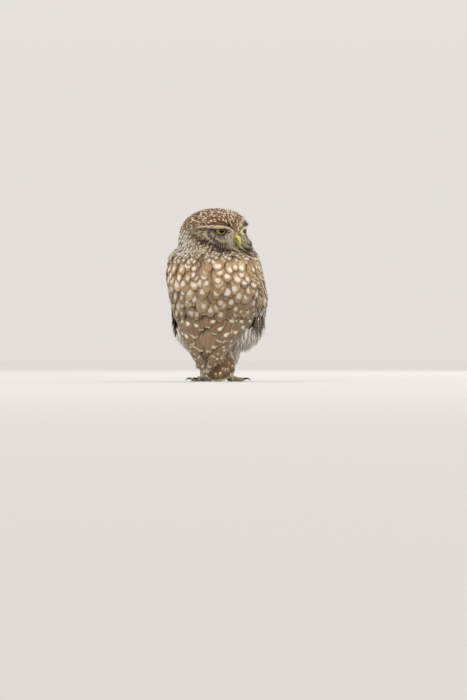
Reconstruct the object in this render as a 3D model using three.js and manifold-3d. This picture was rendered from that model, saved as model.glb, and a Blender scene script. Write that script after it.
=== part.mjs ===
// A little owl at life size. It stands with its back to the viewer and looks over its right shoulder.
// Millimetres, +Z up. The body faces -Y, its right side is -X, and the origin is on the floor between its feet.
// Angles round the body are in degrees: 0 is straight back, 90 is the bird's right side and 180 is its breast.

import * as THREE from "three";
import { mergeVertices } from "three/addons/utils/BufferGeometryUtils.js";
import Module from "manifold-3d";

const wasm = await Module();
wasm.setup();

// Driving sizes
const HEIGHT = 200.7;
const GAP = 0.35;
const BODY = { mid: 108, halfWidth: 57, front: 49, back: 45.5, rise: 54, drop: 67, riseShape: 3.6, dropShape: 3.3 };
const LEAN = {
  lowX: -1, bellyX: 3.5, shoulderX: 5.5, headX: 3.7, from: 96, to: 136, midY: -2, lowY: -9, highY: -4,
};
const HEAD = {
  turn: 70, mid: 172, halfWidth: 40.5, front: 36, back: 35.5, jowl: 2.5, drop: 48,
  crownShape: 2.15, dropShape: 2.6, square: 2.4, join: 5, chin: 12.5, crownLean: 2.5, leanFrom: 178, leanTo: 203,
};
const NECK = { low: 143, high: 151 };
const EYE = { radius: 9.6, side: 14.3, forward: 17, height: 176.4, outward: 26, opening: 6.2, lid: 1.3 };
const BILL = { base: 169.5, root: 27, halfWidth: 4.6, halfDepth: 5.4, reach: 40.6, tip: 154.8, hook: 37 };
const CLOAK = { low: 8, taper: 100, back: 4, sweep: 41, edge: 39, bed: 10.4, lowBed: 15.5, flatFrom: 20, flatTo: 58 };
const WING = { top: 135, low: 66, outer: 2.6, inner: 7.2, tipTurn: 27 };
const VANE = { thick: 0.6, camber: 0.08, tilt: 0.17 };
const TAIL = {
  count: 12, rootX: -3, rootY: 33, rootZ: 60, rootSpread: 13, tipX: -12.5, tipY: 31, tipSpread: 31,
  tipZ: -0.7, corner: 9, halfWidth: 6.4, layer: 1.3, tilt: 0.09,
};
const LEG = { x: 17, hipY: -5, hipZ: 52, hip: 13.5, ankleY: 3, ankleZ: 27, ankle: 5.6, shank: 4.2, footZ: 7.5 };
const TOE = { radius: 2.6, taper: 0.78, lift: 1.95, claw: 9, clawRadius: 1.45, clawTip: 0.25 };

// Small helpers for numbers
const rad = THREE.MathUtils.degToRad;
const clamp = THREE.MathUtils.clamp;
const lerp = THREE.MathUtils.lerp;
const ease = (x, from, to) => THREE.MathUtils.smoothstep(x, from, to);
const bump = (x, width) => Math.exp(-((x / width) ** 2));
const bulge = (x, half, shape) => Math.pow(Math.max(0, 1 - Math.pow(Math.abs(x / half), shape)), 1 / shape);

// A seeded draw between -1 and 1, so that like feathers vary a little and every build is the same.
function makeDraw(seed) {
  let state = seed;
  return () => {
    state = (state * 16807) % 2147483647;
    return (state / 2147483647) * 2 - 1;
  };
}

// Closed meshes and solids

function geometryOf(points, faces) {
  const geometry = new THREE.BufferGeometry();
  geometry.setAttribute("position", new THREE.Float32BufferAttribute(points.flatMap((p) => [p.x, p.y, p.z]), 3));
  geometry.setIndex(faces.flat());
  return geometry;
}

function solidOf(geometry) {
  const bare = geometry.clone();
  bare.deleteAttribute("normal");
  bare.deleteAttribute("uv");
  const merged = mergeVertices(bare, 1e-4);
  return new wasm.Manifold(new wasm.Mesh({
    numProp: 3,
    vertProperties: merged.attributes.position.array,
    triVerts: new Uint32Array(merged.index.array),
  }));
}

function fuse(pieces) {
  return pieces.reduce((whole, piece) => whole.add(piece));
}

function carve(whole, cutters) {
  return cutters.reduce((left, cutter) => left.subtract(cutter), whole);
}

function largest(solid) {
  return solid.decompose().reduce((best, body) => (body.volume() > best.volume() ? body : best));
}

function aboveFloor(solid) {
  return solid.trimByPlane([0, 0, 1], 0);
}

function meshOf(name, solid, material) {
  const { vertProperties, triVerts } = largest(solid).getMesh();
  const geometry = new THREE.BufferGeometry();
  geometry.setAttribute("position", new THREE.BufferAttribute(vertProperties, 3));
  geometry.setIndex(new THREE.BufferAttribute(triVerts, 1));
  geometry.computeVertexNormals();
  const mesh = new THREE.Mesh(geometry, material);
  mesh.name = name;
  return mesh;
}

// Rings of points, from the lowest to the highest, closed by a fan at each end.
function lofted(rings) {
  const points = rings.flat();
  const sides = rings[0].length;
  const faces = [];
  for (let j = 0; j + 1 < rings.length; j++) {
    for (let i = 0; i < sides; i++) {
      const a = j * sides + i;
      const b = j * sides + ((i + 1) % sides);
      faces.push([a, b, b + sides], [a, b + sides, a + sides]);
    }
  }
  for (const [ring, start, up] of [[rings[0], 0, false], [rings.at(-1), (rings.length - 1) * sides, true]]) {
    const middle = ring.reduce((sum, p) => sum.add(p), new THREE.Vector3()).divideScalar(sides);
    points.push(middle);
    const hub = points.length - 1;
    for (let i = 0; i < sides; i++) {
      const next = start + ((i + 1) % sides);
      faces.push(up ? [hub, start + i, next] : [hub, next, start + i]);
    }
  }
  return geometryOf(points, faces);
}

// The same surface moved outwards by a distance, for cutting a neighbour with a gap.
function swollen(geometry, distance) {
  const grown = mergeVertices(geometry.clone(), 1e-4);
  grown.computeVertexNormals();
  const { position, normal } = grown.attributes;
  for (let i = 0; i < position.count; i++) {
    position.setXYZ(
      i,
      position.getX(i) + normal.getX(i) * distance,
      position.getY(i) + normal.getY(i) * distance,
      position.getZ(i) + normal.getZ(i) * distance,
    );
  }
  return grown;
}

// A limb is a loft along a bent line, with a radius across and a radius fore and aft at each station.
function limb(stations, sides, squash = 1) {
  const line = stations.map(([x, y, z]) => new THREE.Vector3(x, y, z));
  const rings = stations.map(([, , , radius], j) => {
    const along = line[Math.min(j + 1, line.length - 1)].clone().sub(line[Math.max(j - 1, 0)]).normalize();
    const guide = Math.abs(along.z) > 0.8 ? new THREE.Vector3(0, -1, 0) : new THREE.Vector3(0, 0, 1);
    const across = guide.clone().cross(along).normalize();
    const over = along.clone().cross(across).normalize();
    return Array.from({ length: sides }, (_, i) => {
      const angle = (2 * Math.PI * i) / sides;
      return line[j].clone()
        .addScaledVector(across, radius * Math.cos(angle))
        .addScaledVector(over, radius * squash * Math.sin(angle));
    });
  });
  return lofted(rings);
}

// The body's middle line leans a little as the bird looks round, and the crown leans towards the face.
function axisAt(z) {
  const high = ease(z, LEAN.from, LEAN.to);
  const low = 1 - ease(z, BODY.mid - BODY.drop, LEAN.from);
  const crown = HEAD.crownLean * ease(z, HEAD.leanFrom, HEAD.leanTo);
  const x = lerp(lerp(LEAN.lowX, LEAN.shoulderX, high), LEAN.headX, ease(z, LEAN.to, HEAD.mid)) + LEAN.bellyX * low;
  const y = LEAN.midY + (LEAN.lowY - LEAN.midY) * low + (LEAN.highY - LEAN.midY) * high;
  return { x: x - crown * Math.sin(rad(HEAD.turn)), y: y + crown * Math.cos(rad(HEAD.turn)) };
}

function sectionRadius(across, fore, halfWidth, depth, shape) {
  return Math.pow(Math.pow(Math.abs(across) / halfWidth, shape) + Math.pow(Math.abs(fore) / depth, shape), -1 / shape);
}

function bodyRadius(angle, z) {
  const above = z > BODY.mid;
  const size = bulge(z - BODY.mid, above ? BODY.rise : BODY.drop, above ? BODY.riseShape : BODY.dropShape);
  const fore = Math.cos(rad(angle));
  return size * sectionRadius(Math.sin(rad(angle)), fore, BODY.halfWidth, fore > 0 ? BODY.back : BODY.front, 2.15);
}

// Heights of the brow and of the facial disc's lower rim, by the angle off the way the bird looks.
const browHeight = (off) => 181.3 - 13 * Math.exp(-Math.pow(off / 16, 1.2)) - 3.2 * ease(off, 70, 95);
const rimHeight = (off) => lerp(153.6, 176, Math.pow(clamp(off / 96, 0, 1), 1.9));

// Degrees off the way the bird looks, towards its head's right.
const offLook = (angle) => ((HEAD.turn - angle + 540) % 360) - 180;

// The face: a dish round each eye under an overhanging brow, and a low rim below.
function faceRelief(off, z) {
  const side = Math.abs(off);
  const front = 1 - ease(side, 84, 106);
  const dish = -6.2 * bump(side - 37, 25) * bump(z - 173, 10.5);
  const brow = 2.6 * bump(z - browHeight(side) - 1.6, 3.4) * front * ease(side, 2, 16);
  const rim = 1.3 * bump(z - rimHeight(side) + 1, 3) * front;
  const cheek = -1.8 * front * ease(z, rimHeight(side), rimHeight(side) + 6) * (1 - ease(z, 176, 183));
  return dish + brow + rim + cheek;
}

function headRadius(angle, z) {
  const off = offLook(angle);
  const above = z > HEAD.mid;
  const size = bulge(z - HEAD.mid, above ? HEIGHT - HEAD.mid : HEAD.drop, above ? HEAD.crownShape : HEAD.dropShape);
  const fore = Math.cos(rad(off));
  const jowl = HEAD.jowl * (1 - ease(z, HEAD.mid - 10, HEAD.mid + 10));
  const plain = sectionRadius(
    Math.sin(rad(off)), fore, HEAD.halfWidth + jowl, (fore > 0 ? HEAD.front : HEAD.back) + jowl, HEAD.square,
  );
  return size * plain + faceRelief(off, z) * Math.min(1, size * 1.4);
}

// The coat's outer surface: the head and the body run into each other with a soft join, hollow under the bill.
function coatRadius(angle, z) {
  const body = bodyRadius(angle, z);
  const head = z > BODY.mid ? headRadius(angle, z) : 0;
  const share = clamp(0.5 + (head - body) / (2 * HEAD.join), 0, 1);
  const chin = HEAD.chin * bump(offLook(angle), 23) * bump(z - BILL.tip, 10.5);
  return lerp(body, head, share) + HEAD.join * share * (1 - share) - chin;
}

// The folded wing's inner and outer edges, as angles round the body.
const dorsalEdge = (z) => lerp(1, 36, ease(z, 92, 142));
const leadingEdge = (z) => lerp(90, 113, ease(z, 84, 126));

function wingBed(angle, z) {
  const side = Math.abs(((angle + 180) % 360) - 180);
  const inside = ease(side, dorsalEdge(z) - 9, dorsalEdge(z)) * (1 - ease(side, leadingEdge(z), leadingEdge(z) + 10));
  const depth = lerp(CLOAK.lowBed, CLOAK.bed, ease(z, 70, 104));
  return depth * inside * ease(z, 50, 70) * (1 - ease(z, WING.top - 1, WING.top + 7));
}

function coatPoint(angle, z, inset = 0) {
  const { x, y } = axisAt(z);
  const radius = Math.max(0.05, coatRadius(angle, z) - inset);
  return new THREE.Vector3(x - Math.sin(rad(angle)) * radius, y + Math.cos(rad(angle)) * radius, z);
}

// Heights that crowd together towards a round end.
function heights(from, to, count, crowdLow, crowdHigh) {
  return Array.from({ length: count }, (_, i) => {
    const t = i / (count - 1);
    const low = crowdLow ? 1 - Math.cos((t * Math.PI) / 2) : t;
    const high = crowdHigh ? Math.sin((t * Math.PI) / 2) : t;
    return lerp(from, to, crowdLow && crowdHigh ? (1 - Math.cos(t * Math.PI)) / 2 : crowdLow ? low : high);
  });
}

function coatRings(levels, angles, bed = () => 0) {
  return levels.map((z) => angles.map((angle) => coatPoint(angle, z, bed(angle, z))));
}

const evenAngles = (count) => Array.from({ length: count }, (_, i) => (360 * i) / count);

// Angles for the head, closer together across the face.
const faceAngles = [
  ...Array.from({ length: 26 }, (_, i) => HEAD.turn - 100 + (200 * i) / 26),
  ...Array.from({ length: 10 }, (_, i) => HEAD.turn + 100 + (160 * i) / 10),
];

const torsoGeometry = lofted(
  coatRings(heights(BODY.mid - BODY.drop + 0.15, NECK.low - GAP, 18, true, false), evenAngles(36), wingBed),
);
const neckGeometry = lofted(coatRings([NECK.low, (NECK.low + NECK.high) / 2, NECK.high - GAP], evenAngles(36)));
const headGeometry = lofted(coatRings(heights(NECK.high, HEIGHT - 0.05, 19, false, true), faceAngles));

// A place in the head's own frame: to its right, forward, and up.
const LOOK = new THREE.Vector3(-Math.sin(rad(HEAD.turn)), Math.cos(rad(HEAD.turn)), 0);
const HEAD_RIGHT = new THREE.Vector3(LOOK.y, -LOOK.x, 0);
function inHead(right, forward, z) {
  const { x, y } = axisAt(z);
  return new THREE.Vector3(x, y, z).addScaledVector(HEAD_RIGHT, right).addScaledVector(LOOK, forward);
}

// Eyes and lids

function eyeFrame(side) {
  const centre = inHead(side * EYE.side, EYE.forward, EYE.height);
  const gaze = LOOK.clone().multiplyScalar(Math.cos(rad(EYE.outward)))
    .addScaledVector(HEAD_RIGHT, side * Math.sin(rad(EYE.outward)))
    .addScaledVector(new THREE.Vector3(0, 0, 1), -0.06).normalize();
  const across = new THREE.Vector3(0, 0, 1).cross(gaze).normalize();
  const up = gaze.clone().cross(across);
  return new THREE.Matrix4().makeBasis(across, up, gaze).setPosition(centre);
}

// A ball, or a cap of it, as a turned profile about the eye's own axis.
function eyeBall(side, radius, backCut, sides = 16, steps = 6) {
  const start = Math.asin(clamp(-backCut / radius, -1, 1));
  const profile = [new THREE.Vector2(0, -backCut)];
  for (let i = 0; i <= steps; i++) {
    const angle = lerp(start, Math.PI / 2, i / steps);
    profile.push(new THREE.Vector2(i === steps ? 0 : radius * Math.cos(angle), radius * Math.sin(angle)));
  }
  return new THREE.LatheGeometry(profile, sides).rotateX(Math.PI / 2).applyMatrix4(eyeFrame(side));
}

// The opening between the lids is round below and cut flat above, lower towards the bill.
function lidOpening(side) {
  const shape = new THREE.Shape();
  const r = EYE.opening;
  const turn = side > 0 ? 1 : -1;
  const left = Math.PI - rad(9 + 5 * turn);
  const right = rad(9 - 5 * turn);
  shape.moveTo(r * Math.cos(left), r * Math.sin(left));
  shape.absarc(0, 0, r, left, right + 2 * Math.PI, false);
  shape.closePath();
  return new THREE.ExtrudeGeometry(shape, { depth: 16, bevelEnabled: false, curveSegments: 7 })
    .translate(0, 0, 4).applyMatrix4(eyeFrame(side));
}

function makeHead() {
  const balls = [1, -1].map((side) => solidOf(eyeBall(side, EYE.radius + EYE.lid, 1.5, 14, 5)));
  const sockets = [1, -1].map((side) => solidOf(eyeBall(side, EYE.radius + GAP, 3)));
  const openings = [1, -1].map((side) => solidOf(lidOpening(side)));
  return carve(fuse([solidOf(headGeometry), ...balls, ...browLocks()]), [...sockets, ...openings]);
}

// Feathers

const VANE_STATIONS = [
  { t: 0, width: 0.6 },
  { t: 0.45, width: 1 },
  { t: 0.88, width: 0.86 },
  { t: 1, width: 0.3 },
];

// A tail feather stays broad almost to its tip.
const BROAD_STATIONS = [{ t: 0, width: 0.6 }, { t: 0.45, width: 1 }, { t: 0.9, width: 0.95 }, { t: 1, width: 0.5 }];

const LOCK_STATIONS = [{ t: 0, width: 0.7 }, { t: 0.6, width: 1 }, { t: 1, width: 0.35 }];

// A vane is a thin cambered plate. place(t) gives the point and the outward normal at a share t of its length.
function vane(place, halfWidth, { extra = 0, camber = VANE.camber, tilt = 0, stations = VANE_STATIONS } = {}) {
  const columns = [-1, 0, 1];
  const step = 0.02;
  const points = [[], []];
  for (const { t, width } of stations) {
    const { point, normal } = place(t);
    const along = place(Math.min(1, t + step)).point.clone().sub(place(Math.max(0, t - step)).point).normalize();
    const across = along.clone().cross(normal).normalize();
    const out = across.clone().cross(along).normalize();
    const half = halfWidth * width + extra;
    for (const w of columns) {
      const middle = point.clone()
        .addScaledVector(across, half * w)
        .addScaledVector(out, -camber * half * w * w + tilt * half * w)
        .addScaledVector(along, t === 1 ? extra : 0);
      points[0].push(middle.clone().addScaledVector(out, VANE.thick / 2 + extra));
      points[1].push(middle.clone().addScaledVector(out, -VANE.thick / 2 - extra));
    }
  }
  const count = points[0].length;
  const at = (row, column, face) => face * count + row * columns.length + column;
  const faces = [];
  for (let j = 0; j + 1 < stations.length; j++) {
    for (let i = 0; i + 1 < columns.length; i++) {
      const corners = [at(j, i, 0), at(j, i + 1, 0), at(j + 1, i + 1, 0), at(j + 1, i, 0)];
      const [a, b, c, d] = corners;
      const [e, f, g, h] = corners.map((corner) => corner + count);
      faces.push([a, b, c], [a, c, d], [e, g, f], [e, h, g]);
    }
  }
  const rim = [];
  for (let i = 0; i < columns.length; i++) rim.push([0, i]);
  for (let j = 1; j < stations.length; j++) rim.push([j, columns.length - 1]);
  for (let i = columns.length - 2; i >= 0; i--) rim.push([stations.length - 1, i]);
  for (let j = stations.length - 2; j > 0; j--) rim.push([j, 0]);
  rim.forEach(([row, column], k) => {
    const [nextRow, nextColumn] = rim[(k + 1) % rim.length];
    const [a, b] = [at(row, column, 0), at(nextRow, nextColumn, 0)];
    faces.push([a, a + count, b + count], [a, b + count, b]);
  });
  return solidOf(geometryOf([...points[0], ...points[1]], faces));
}

// The surface that the folded wings lie on. side is 1 for the right wing and -1 for the left.
function cloakPoint(side, angle, z, lift = 0) {
  const s = Math.sin((Math.PI / 2) * clamp((z - CLOAK.low) / CLOAK.taper, 0.02, 1));
  const above = Math.max(0, z - BODY.mid);
  const size = above > 0 ? bulge(above, BODY.rise, BODY.riseShape) : 1;
  const axis = axisAt(Math.max(z, LEAN.from));
  const halfWidth = BODY.halfWidth * s * size + lift;
  const depth = (CLOAK.back + CLOAK.sweep * s) * size + lift;
  const flat = 1 - 0.85 * (1 - ease(z, CLOAK.flatFrom, CLOAK.flatTo));
  return new THREE.Vector3(
    axis.x - side * halfWidth * Math.sin(rad(angle)),
    axis.y + CLOAK.edge * (1 - s) + depth * (1 - flat * (1 - Math.cos(rad(angle)))),
    z,
  );
}

// Low down the feathers all face the same way, so that they stack flat over the tail.
function cloakPlace(side, angle, z, lift) {
  const point = cloakPoint(side, angle, z);
  const round = cloakPoint(side, angle + 1, z).sub(point);
  const up = cloakPoint(side, angle, z + 1).sub(point);
  const outward = round.cross(up).normalize().multiplyScalar(side);
  const tipFacing = new THREE.Vector3(-side * Math.sin(rad(WING.tipTurn)), Math.cos(rad(WING.tipTurn)), 0);
  const normal = outward.lerp(tipFacing, 1 - ease(z, 24, 78)).normalize();
  return { point: point.addScaledVector(normal, lift), normal };
}

// Tiers of feathers on the folded wing, from the deepest to the outermost. Each runs from its first feather to
// its last, with root and tip given as an angle and a height, and dip lowers the middle of the row of tips.
// A feather's root is sunk in the wing and its tip stands off the cloak by its lift.
const TIERS = [
  {
    name: "primary", count: 7, root: [[54, 88], [88, 96]], tip: [[26, 46], [56, 34]], dip: 31,
    half: [7, 5.6], sunk: [3.6, 6.4], lift: [1, -5.4], rise: 50,
  },
  {
    name: "secondary", count: 7, root: [[84, 106], [22, 96]], tip: [[70, 62], [20, 38]], dip: 2,
    half: [7.5, 8.5], sunk: [5.1, 4.7], lift: [-0.6, 3], rise: 44,
  },
  {
    name: "tertial", count: 2, root: [[32, 106], [17, 104]], tip: [[27, 50], [13, 58]], dip: 0,
    half: [9, 9], sunk: [4.4, 4], lift: [4, 4.8], rise: 38,
  },
  {
    name: "primary_covert", count: 2, root: [[91, 112], [102, 114]], tip: [[79, 84], [91, 88]], dip: 0,
    half: [6, 6], sunk: [4.6, 5.6], lift: [0, -1.4], rise: 24,
  },
  {
    name: "greater_covert", count: 6, root: [[94, 118], [26, 112]], tip: [[82, 88], [24, 78]], dip: 0,
    half: [8, 9], sunk: [5, 4.8], lift: [1, 3.4], rise: 30,
  },
  {
    name: "median_covert", count: 5, root: [[97, 128], [36, 124]], tip: [[89, 104], [30, 98]], dip: 0,
    half: [8, 9], sunk: [5, 5], lift: [2.4, 4], rise: 36,
  },
  {
    name: "scapular", count: 4, root: [[62, 131], [30, 127]], tip: [[52, 106], [12, 76]], dip: 0,
    half: [9, 10], sunk: [4.9, 4.9], lift: [3.4, 6], rise: 27,
  },
];

function tierFeathers(side, tier, draw) {
  return Array.from({ length: tier.count }, (_, i) => {
    const share = i / (tier.count - 1);
    const along = (pair) => pair[0].map((from, k) => lerp(from, pair[1][k], share));
    const root = along(tier.root);
    const tip = along(tier.tip);
    const bow = Math.sin(Math.PI * Math.pow(share, 0.8));
    const half = lerp(...tier.half, share) * (1 + 0.04 * draw());
    const lift = lerp(...tier.lift, share);
    const sunk = lerp(...tier.sunk, share);
    const tipAngle = tip[0] + draw();
    const tipHeight = tip[1] - tier.dip * bow + 0.8 * draw();
    const place = (t) => {
      const z = lerp(root[1], tipHeight, t);
      const risen = clamp((root[1] - z) / tier.rise, 0, 1);
      return cloakPlace(side, lerp(root[0], tipAngle, t), z, lerp(-sunk, lift, risen));
    };
    return vane(place, half, { tilt: -side * VANE.tilt });
  });
}

// The wing's own flesh is a curved slab on the torso, thin at its edges.
function wingSlab(side) {
  const across = 6;
  const levels = heights(WING.low, WING.top, 7, false, false);
  const rings = levels.map((z) => {
    const outerRow = [];
    const innerRow = [];
    for (let i = 0; i < across; i++) {
      const share = i / (across - 1);
      const dorsal = dorsalEdge(z) + 3 + 20 * (1 - ease(z, WING.low, 96));
      const angle = lerp(dorsal, leadingEdge(z) - 3, share);
      const edge = Math.pow(Math.abs(2 * share - 1), 4);
      const end = ease(z, WING.top - 12, WING.top) + 1 - ease(z, WING.low, WING.low + 14);
      outerRow.push(cloakPoint(side, angle, z, -WING.outer - 1.4 * edge - 2.4 * end));
      innerRow.push(cloakPoint(side, angle, z, -WING.inner));
    }
    const ring = [...outerRow, ...innerRow.reverse()];
    return side > 0 ? ring : ring.reverse();
  });
  return solidOf(lofted(rings));
}

const torsoCutter = solidOf(swollen(torsoGeometry, GAP));
const neckCutter = solidOf(swollen(neckGeometry, GAP));

function makeWing(side) {
  const draw = makeDraw(side > 0 ? 1201 : 733);
  const feathers = TIERS.flatMap((tier) => tierFeathers(side, tier, draw));
  const whole = fuse([wingSlab(side), ...feathers]);
  const apart = whole.trimByPlane([-side, 0, 0], -side * LEAN.lowX + GAP / 2);
  return carve(apart, [torsoCutter]);
}

// The tail is a fan of feathers, the middle pair outermost, on a short flat root.
function tailPlace(share, level, t) {
  const side = 2 * share - 1;
  const x = lerp(TAIL.rootX + (side * TAIL.rootSpread) / 2, TAIL.tipX + (side * TAIL.tipSpread) / 2, t);
  const y = lerp(TAIL.rootY, TAIL.tipY, t) - level * lerp(0.75, 1, t);
  const z = lerp(TAIL.rootZ - 6 * Math.abs(side), TAIL.tipZ + TAIL.corner * Math.abs(side) ** 2.4, t);
  return { point: new THREE.Vector3(x, y, z), normal: new THREE.Vector3(-side * TAIL.tilt, 1, 0).normalize() };
}

function tailFeathers() {
  const draw = makeDraw(97);
  return Array.from({ length: TAIL.count }, (_, i) => {
    const share = i / (TAIL.count - 1);
    const level = Math.abs(i - TAIL.count / 2 + 0.75) * TAIL.layer;
    const half = TAIL.halfWidth * (1 + 0.03 * draw());
    return vane((t) => tailPlace(share, level, t), half, { stations: BROAD_STATIONS });
  });
}

function tailRoot() {
  const stations = [
    [-2.5, 33.5, 65, 4], [-3, 32, 60, 9], [-4, 29.6, 52, 11.5], [-5, 28.6, 46, 11], [-6, 28.6, 41, 5],
  ];
  return solidOf(limb(stations, 12, 0.4));
}

function makeTail() {
  return carve(aboveFloor(fuse([tailRoot(), ...tailFeathers()])), [torsoCutter]);
}

// The pale brow is a row of flat locks over each eye.
function browLocks() {
  const count = 5;
  return [1, -1].flatMap((side) => Array.from({ length: count }, (_, i) => {
    const off = lerp(12, 74, i / (count - 1));
    const place = (t) => {
      const at = off + 15 * t;
      const z = browHeight(at) + lerp(0.5, 2.2, t);
      const point = coatPoint(HEAD.turn - side * at, z, 0.6 - 1.3 * t);
      return { point, normal: inHead(side * Math.sin(rad(at)), Math.cos(rad(at)), z).sub(inHead(0, 0, z)) };
    };
    return vane(place, 2.6, { camber: 0.3, stations: LOCK_STATIONS });
  }));
}

// The bill

function billStations(scale, drop) {
  const count = 8;
  return Array.from({ length: count }, (_, i) => {
    const t = i / (count - 1);
    const swing = Math.sin((Math.PI / 2) * Math.min(1, t * 1.15));
    const forward = lerp(BILL.root, BILL.reach - BILL.halfDepth * 0.55, swing) + (BILL.hook - BILL.reach + 3) * t ** 4;
    const z = lerp(BILL.base, BILL.tip, Math.pow(t, 1.7)) - drop;
    const size = Math.pow(1 - t, 0.62) * 0.97 + 0.03;
    return { forward, z, half: BILL.halfWidth * size * scale, deep: BILL.halfDepth * size * scale };
  });
}

function billLoft(stations, grow) {
  const sides = 12;
  const rings = stations.map(({ forward, z, half, deep }, j) => {
    const next = stations[Math.min(j + 1, stations.length - 1)];
    const last = stations[Math.max(j - 1, 0)];
    const along = inHead(0, next.forward, next.z).sub(inHead(0, last.forward, last.z)).normalize();
    const over = HEAD_RIGHT.clone().cross(along).normalize();
    return Array.from({ length: sides }, (_, i) => {
      const angle = (2 * Math.PI * i) / sides;
      return inHead(0, forward, z)
        .addScaledVector(HEAD_RIGHT, (half + grow) * Math.cos(angle))
        .addScaledVector(over, (deep + grow) * Math.sin(angle));
    });
  });
  return lofted(rings.reverse());
}

const headCutter = solidOf(swollen(headGeometry, GAP));

function nostrils() {
  return [1, -1].map((side) => {
    const pit = new THREE.SphereGeometry(0.9, 8, 6);
    const place = inHead(side * 3.6, 37.2, 166.5);
    return solidOf(pit.translate(place.x, place.y, place.z));
  });
}

function makeUpperBill() {
  return carve(solidOf(billLoft(billStations(1, 0), 0)), [headCutter, ...nostrils()]);
}

function makeLowerBill() {
  const stations = billStations(0.72, 3.6).slice(0, 6).map((s) => ({ ...s, forward: s.forward - 2.4 }));
  const upper = solidOf(billLoft(billStations(1, 0), GAP));
  return carve(solidOf(billLoft(stations, 0)), [headCutter, upper]);
}

// Legs and feet

function thighGeometry(side, grow) {
  const foot = side * -LEG.x;
  const stations = [
    [foot * 0.9, LEG.hipY, LEG.hipZ + 6, LEG.hip * 0.8],
    [foot * 0.93, LEG.hipY + 1, LEG.hipZ, LEG.hip],
    [foot * 0.97, LEG.hipY + 4, lerp(LEG.hipZ, LEG.ankleZ, 0.5), LEG.hip * 0.78],
    [foot, LEG.ankleY - 1, LEG.ankleZ + 2.5, LEG.ankle * 1.15],
    [foot, LEG.ankleY, LEG.ankleZ, LEG.ankle * 0.9],
  ].map(([x, y, z, radius]) => [x, y, z, radius + grow]);
  return limb(stations, 14);
}

function shankGeometry(side, grow) {
  const foot = side * -LEG.x;
  const stations = [
    [foot, LEG.ankleY, LEG.ankleZ + 2, LEG.ankle * 0.7],
    [foot, LEG.ankleY, LEG.ankleZ - 2, LEG.ankle * 0.92],
    [foot, lerp(LEG.ankleY, 0.5, 0.35), lerp(LEG.ankleZ, LEG.footZ, 0.35), LEG.shank],
    [foot, lerp(LEG.ankleY, 0.5, 0.75), lerp(LEG.ankleZ, LEG.footZ, 0.75), LEG.shank * 0.95],
    [foot, 0.5, LEG.footZ, LEG.shank * 1.08],
    [foot, 0.3, LEG.footZ - 3, LEG.shank * 0.8],
  ].map(([x, y, z, radius]) => [x, y, z, radius + grow]);
  return limb(stations, 12);
}

// Toes as on owls: two forward, one out to the side and one back. turn is from straight ahead, outwards.
const TOES = [
  { name: "hind", turn: 158, length: 11 },
  { name: "inner", turn: -16, length: 16 },
  { name: "middle", turn: 14, length: 19 },
  { name: "outer", turn: 82, length: 15.5 },
];

function toeLine(side, toe, distance) {
  const angle = rad(toe.turn);
  return [
    side * -(LEG.x + Math.sin(angle) * distance),
    -Math.cos(angle) * distance,
  ];
}

function toeStations(side, toe, grow) {
  const count = 6;
  return Array.from({ length: count }, (_, i) => {
    const t = i / (count - 1);
    const [x, y] = toeLine(side, toe, lerp(-1, toe.length, t));
    const knuckle = 1 + 0.1 * Math.cos(t * 5 * Math.PI);
    const radius = TOE.radius * lerp(1.12, TOE.taper, t) * knuckle * (i === count - 1 ? 0.72 : 1);
    return [x, y, TOE.lift + 1.2 * (1 - t) ** 2, radius + grow];
  });
}

function clawGeometry(side, toe) {
  const count = 4;
  const stations = Array.from({ length: count }, (_, i) => {
    const t = i / (count - 1);
    const [x, y] = toeLine(side, toe, toe.length - 1.6 + TOE.claw * Math.sin(t * 1.35));
    const z = TOE.lift + 0.7 + 1.4 * Math.sin(t * Math.PI * 0.9) - 2.3 * t * t;
    return [x, y, z, TOE.clawRadius * Math.pow(1 - t, 0.7) + TOE.clawTip];
  });
  return limb(stations, 7);
}

function makeFoot(side) {
  const [padX, padY] = [side * -LEG.x, 0];
  const pad = new THREE.SphereGeometry(5, 10, 6).scale(1, 1, 0.8).translate(padX, padY, 3.4);
  const toes = TOES.map((toe) => solidOf(limb(toeStations(side, toe, 0), 7)));
  return carve(aboveFloor(fuse([solidOf(pad), ...toes])), [solidOf(shankGeometry(side, GAP))]);
}

// A claw starts a gap in front of the flat end of its toe.
function makeClaw(side, toe) {
  const [root, start] = [0, toe.length + GAP].map((distance) => new THREE.Vector2(...toeLine(side, toe, distance)));
  const along = start.clone().sub(root).normalize();
  const claw = aboveFloor(solidOf(clawGeometry(side, toe)));
  return claw.trimByPlane([along.x, along.y, 0], along.dot(start));
}

// Materials

const material = (color, roughness) => new THREE.MeshStandardMaterial({ color, roughness, metalness: 0 });
const plumage = material(0x6e553d, 0.9);
const flight = material(0x5c4632, 0.8);
const iris = material(0xc9b81f, 0.15);
const horn = material(0xb9ad3f, 0.4);
const down = material(0xd9cdb6, 0.95);
const scale = material(0x8d8468, 0.7);
const clawHorn = material(0x2b2522, 0.35);

// The owl

const owl = new THREE.Group();
owl.add(meshOf("head", makeHead(), plumage));
owl.add(meshOf("neck", solidOf(neckGeometry), plumage));
owl.add(meshOf("bill_upper", makeUpperBill(), horn));
owl.add(meshOf("bill_lower", makeLowerBill(), horn));
owl.add(meshOf("tail", makeTail(), flight));

const thighCutters = [1, -1].map((side) => solidOf(thighGeometry(side, GAP)));
owl.add(meshOf("torso", solidOf(torsoGeometry), plumage));

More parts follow.
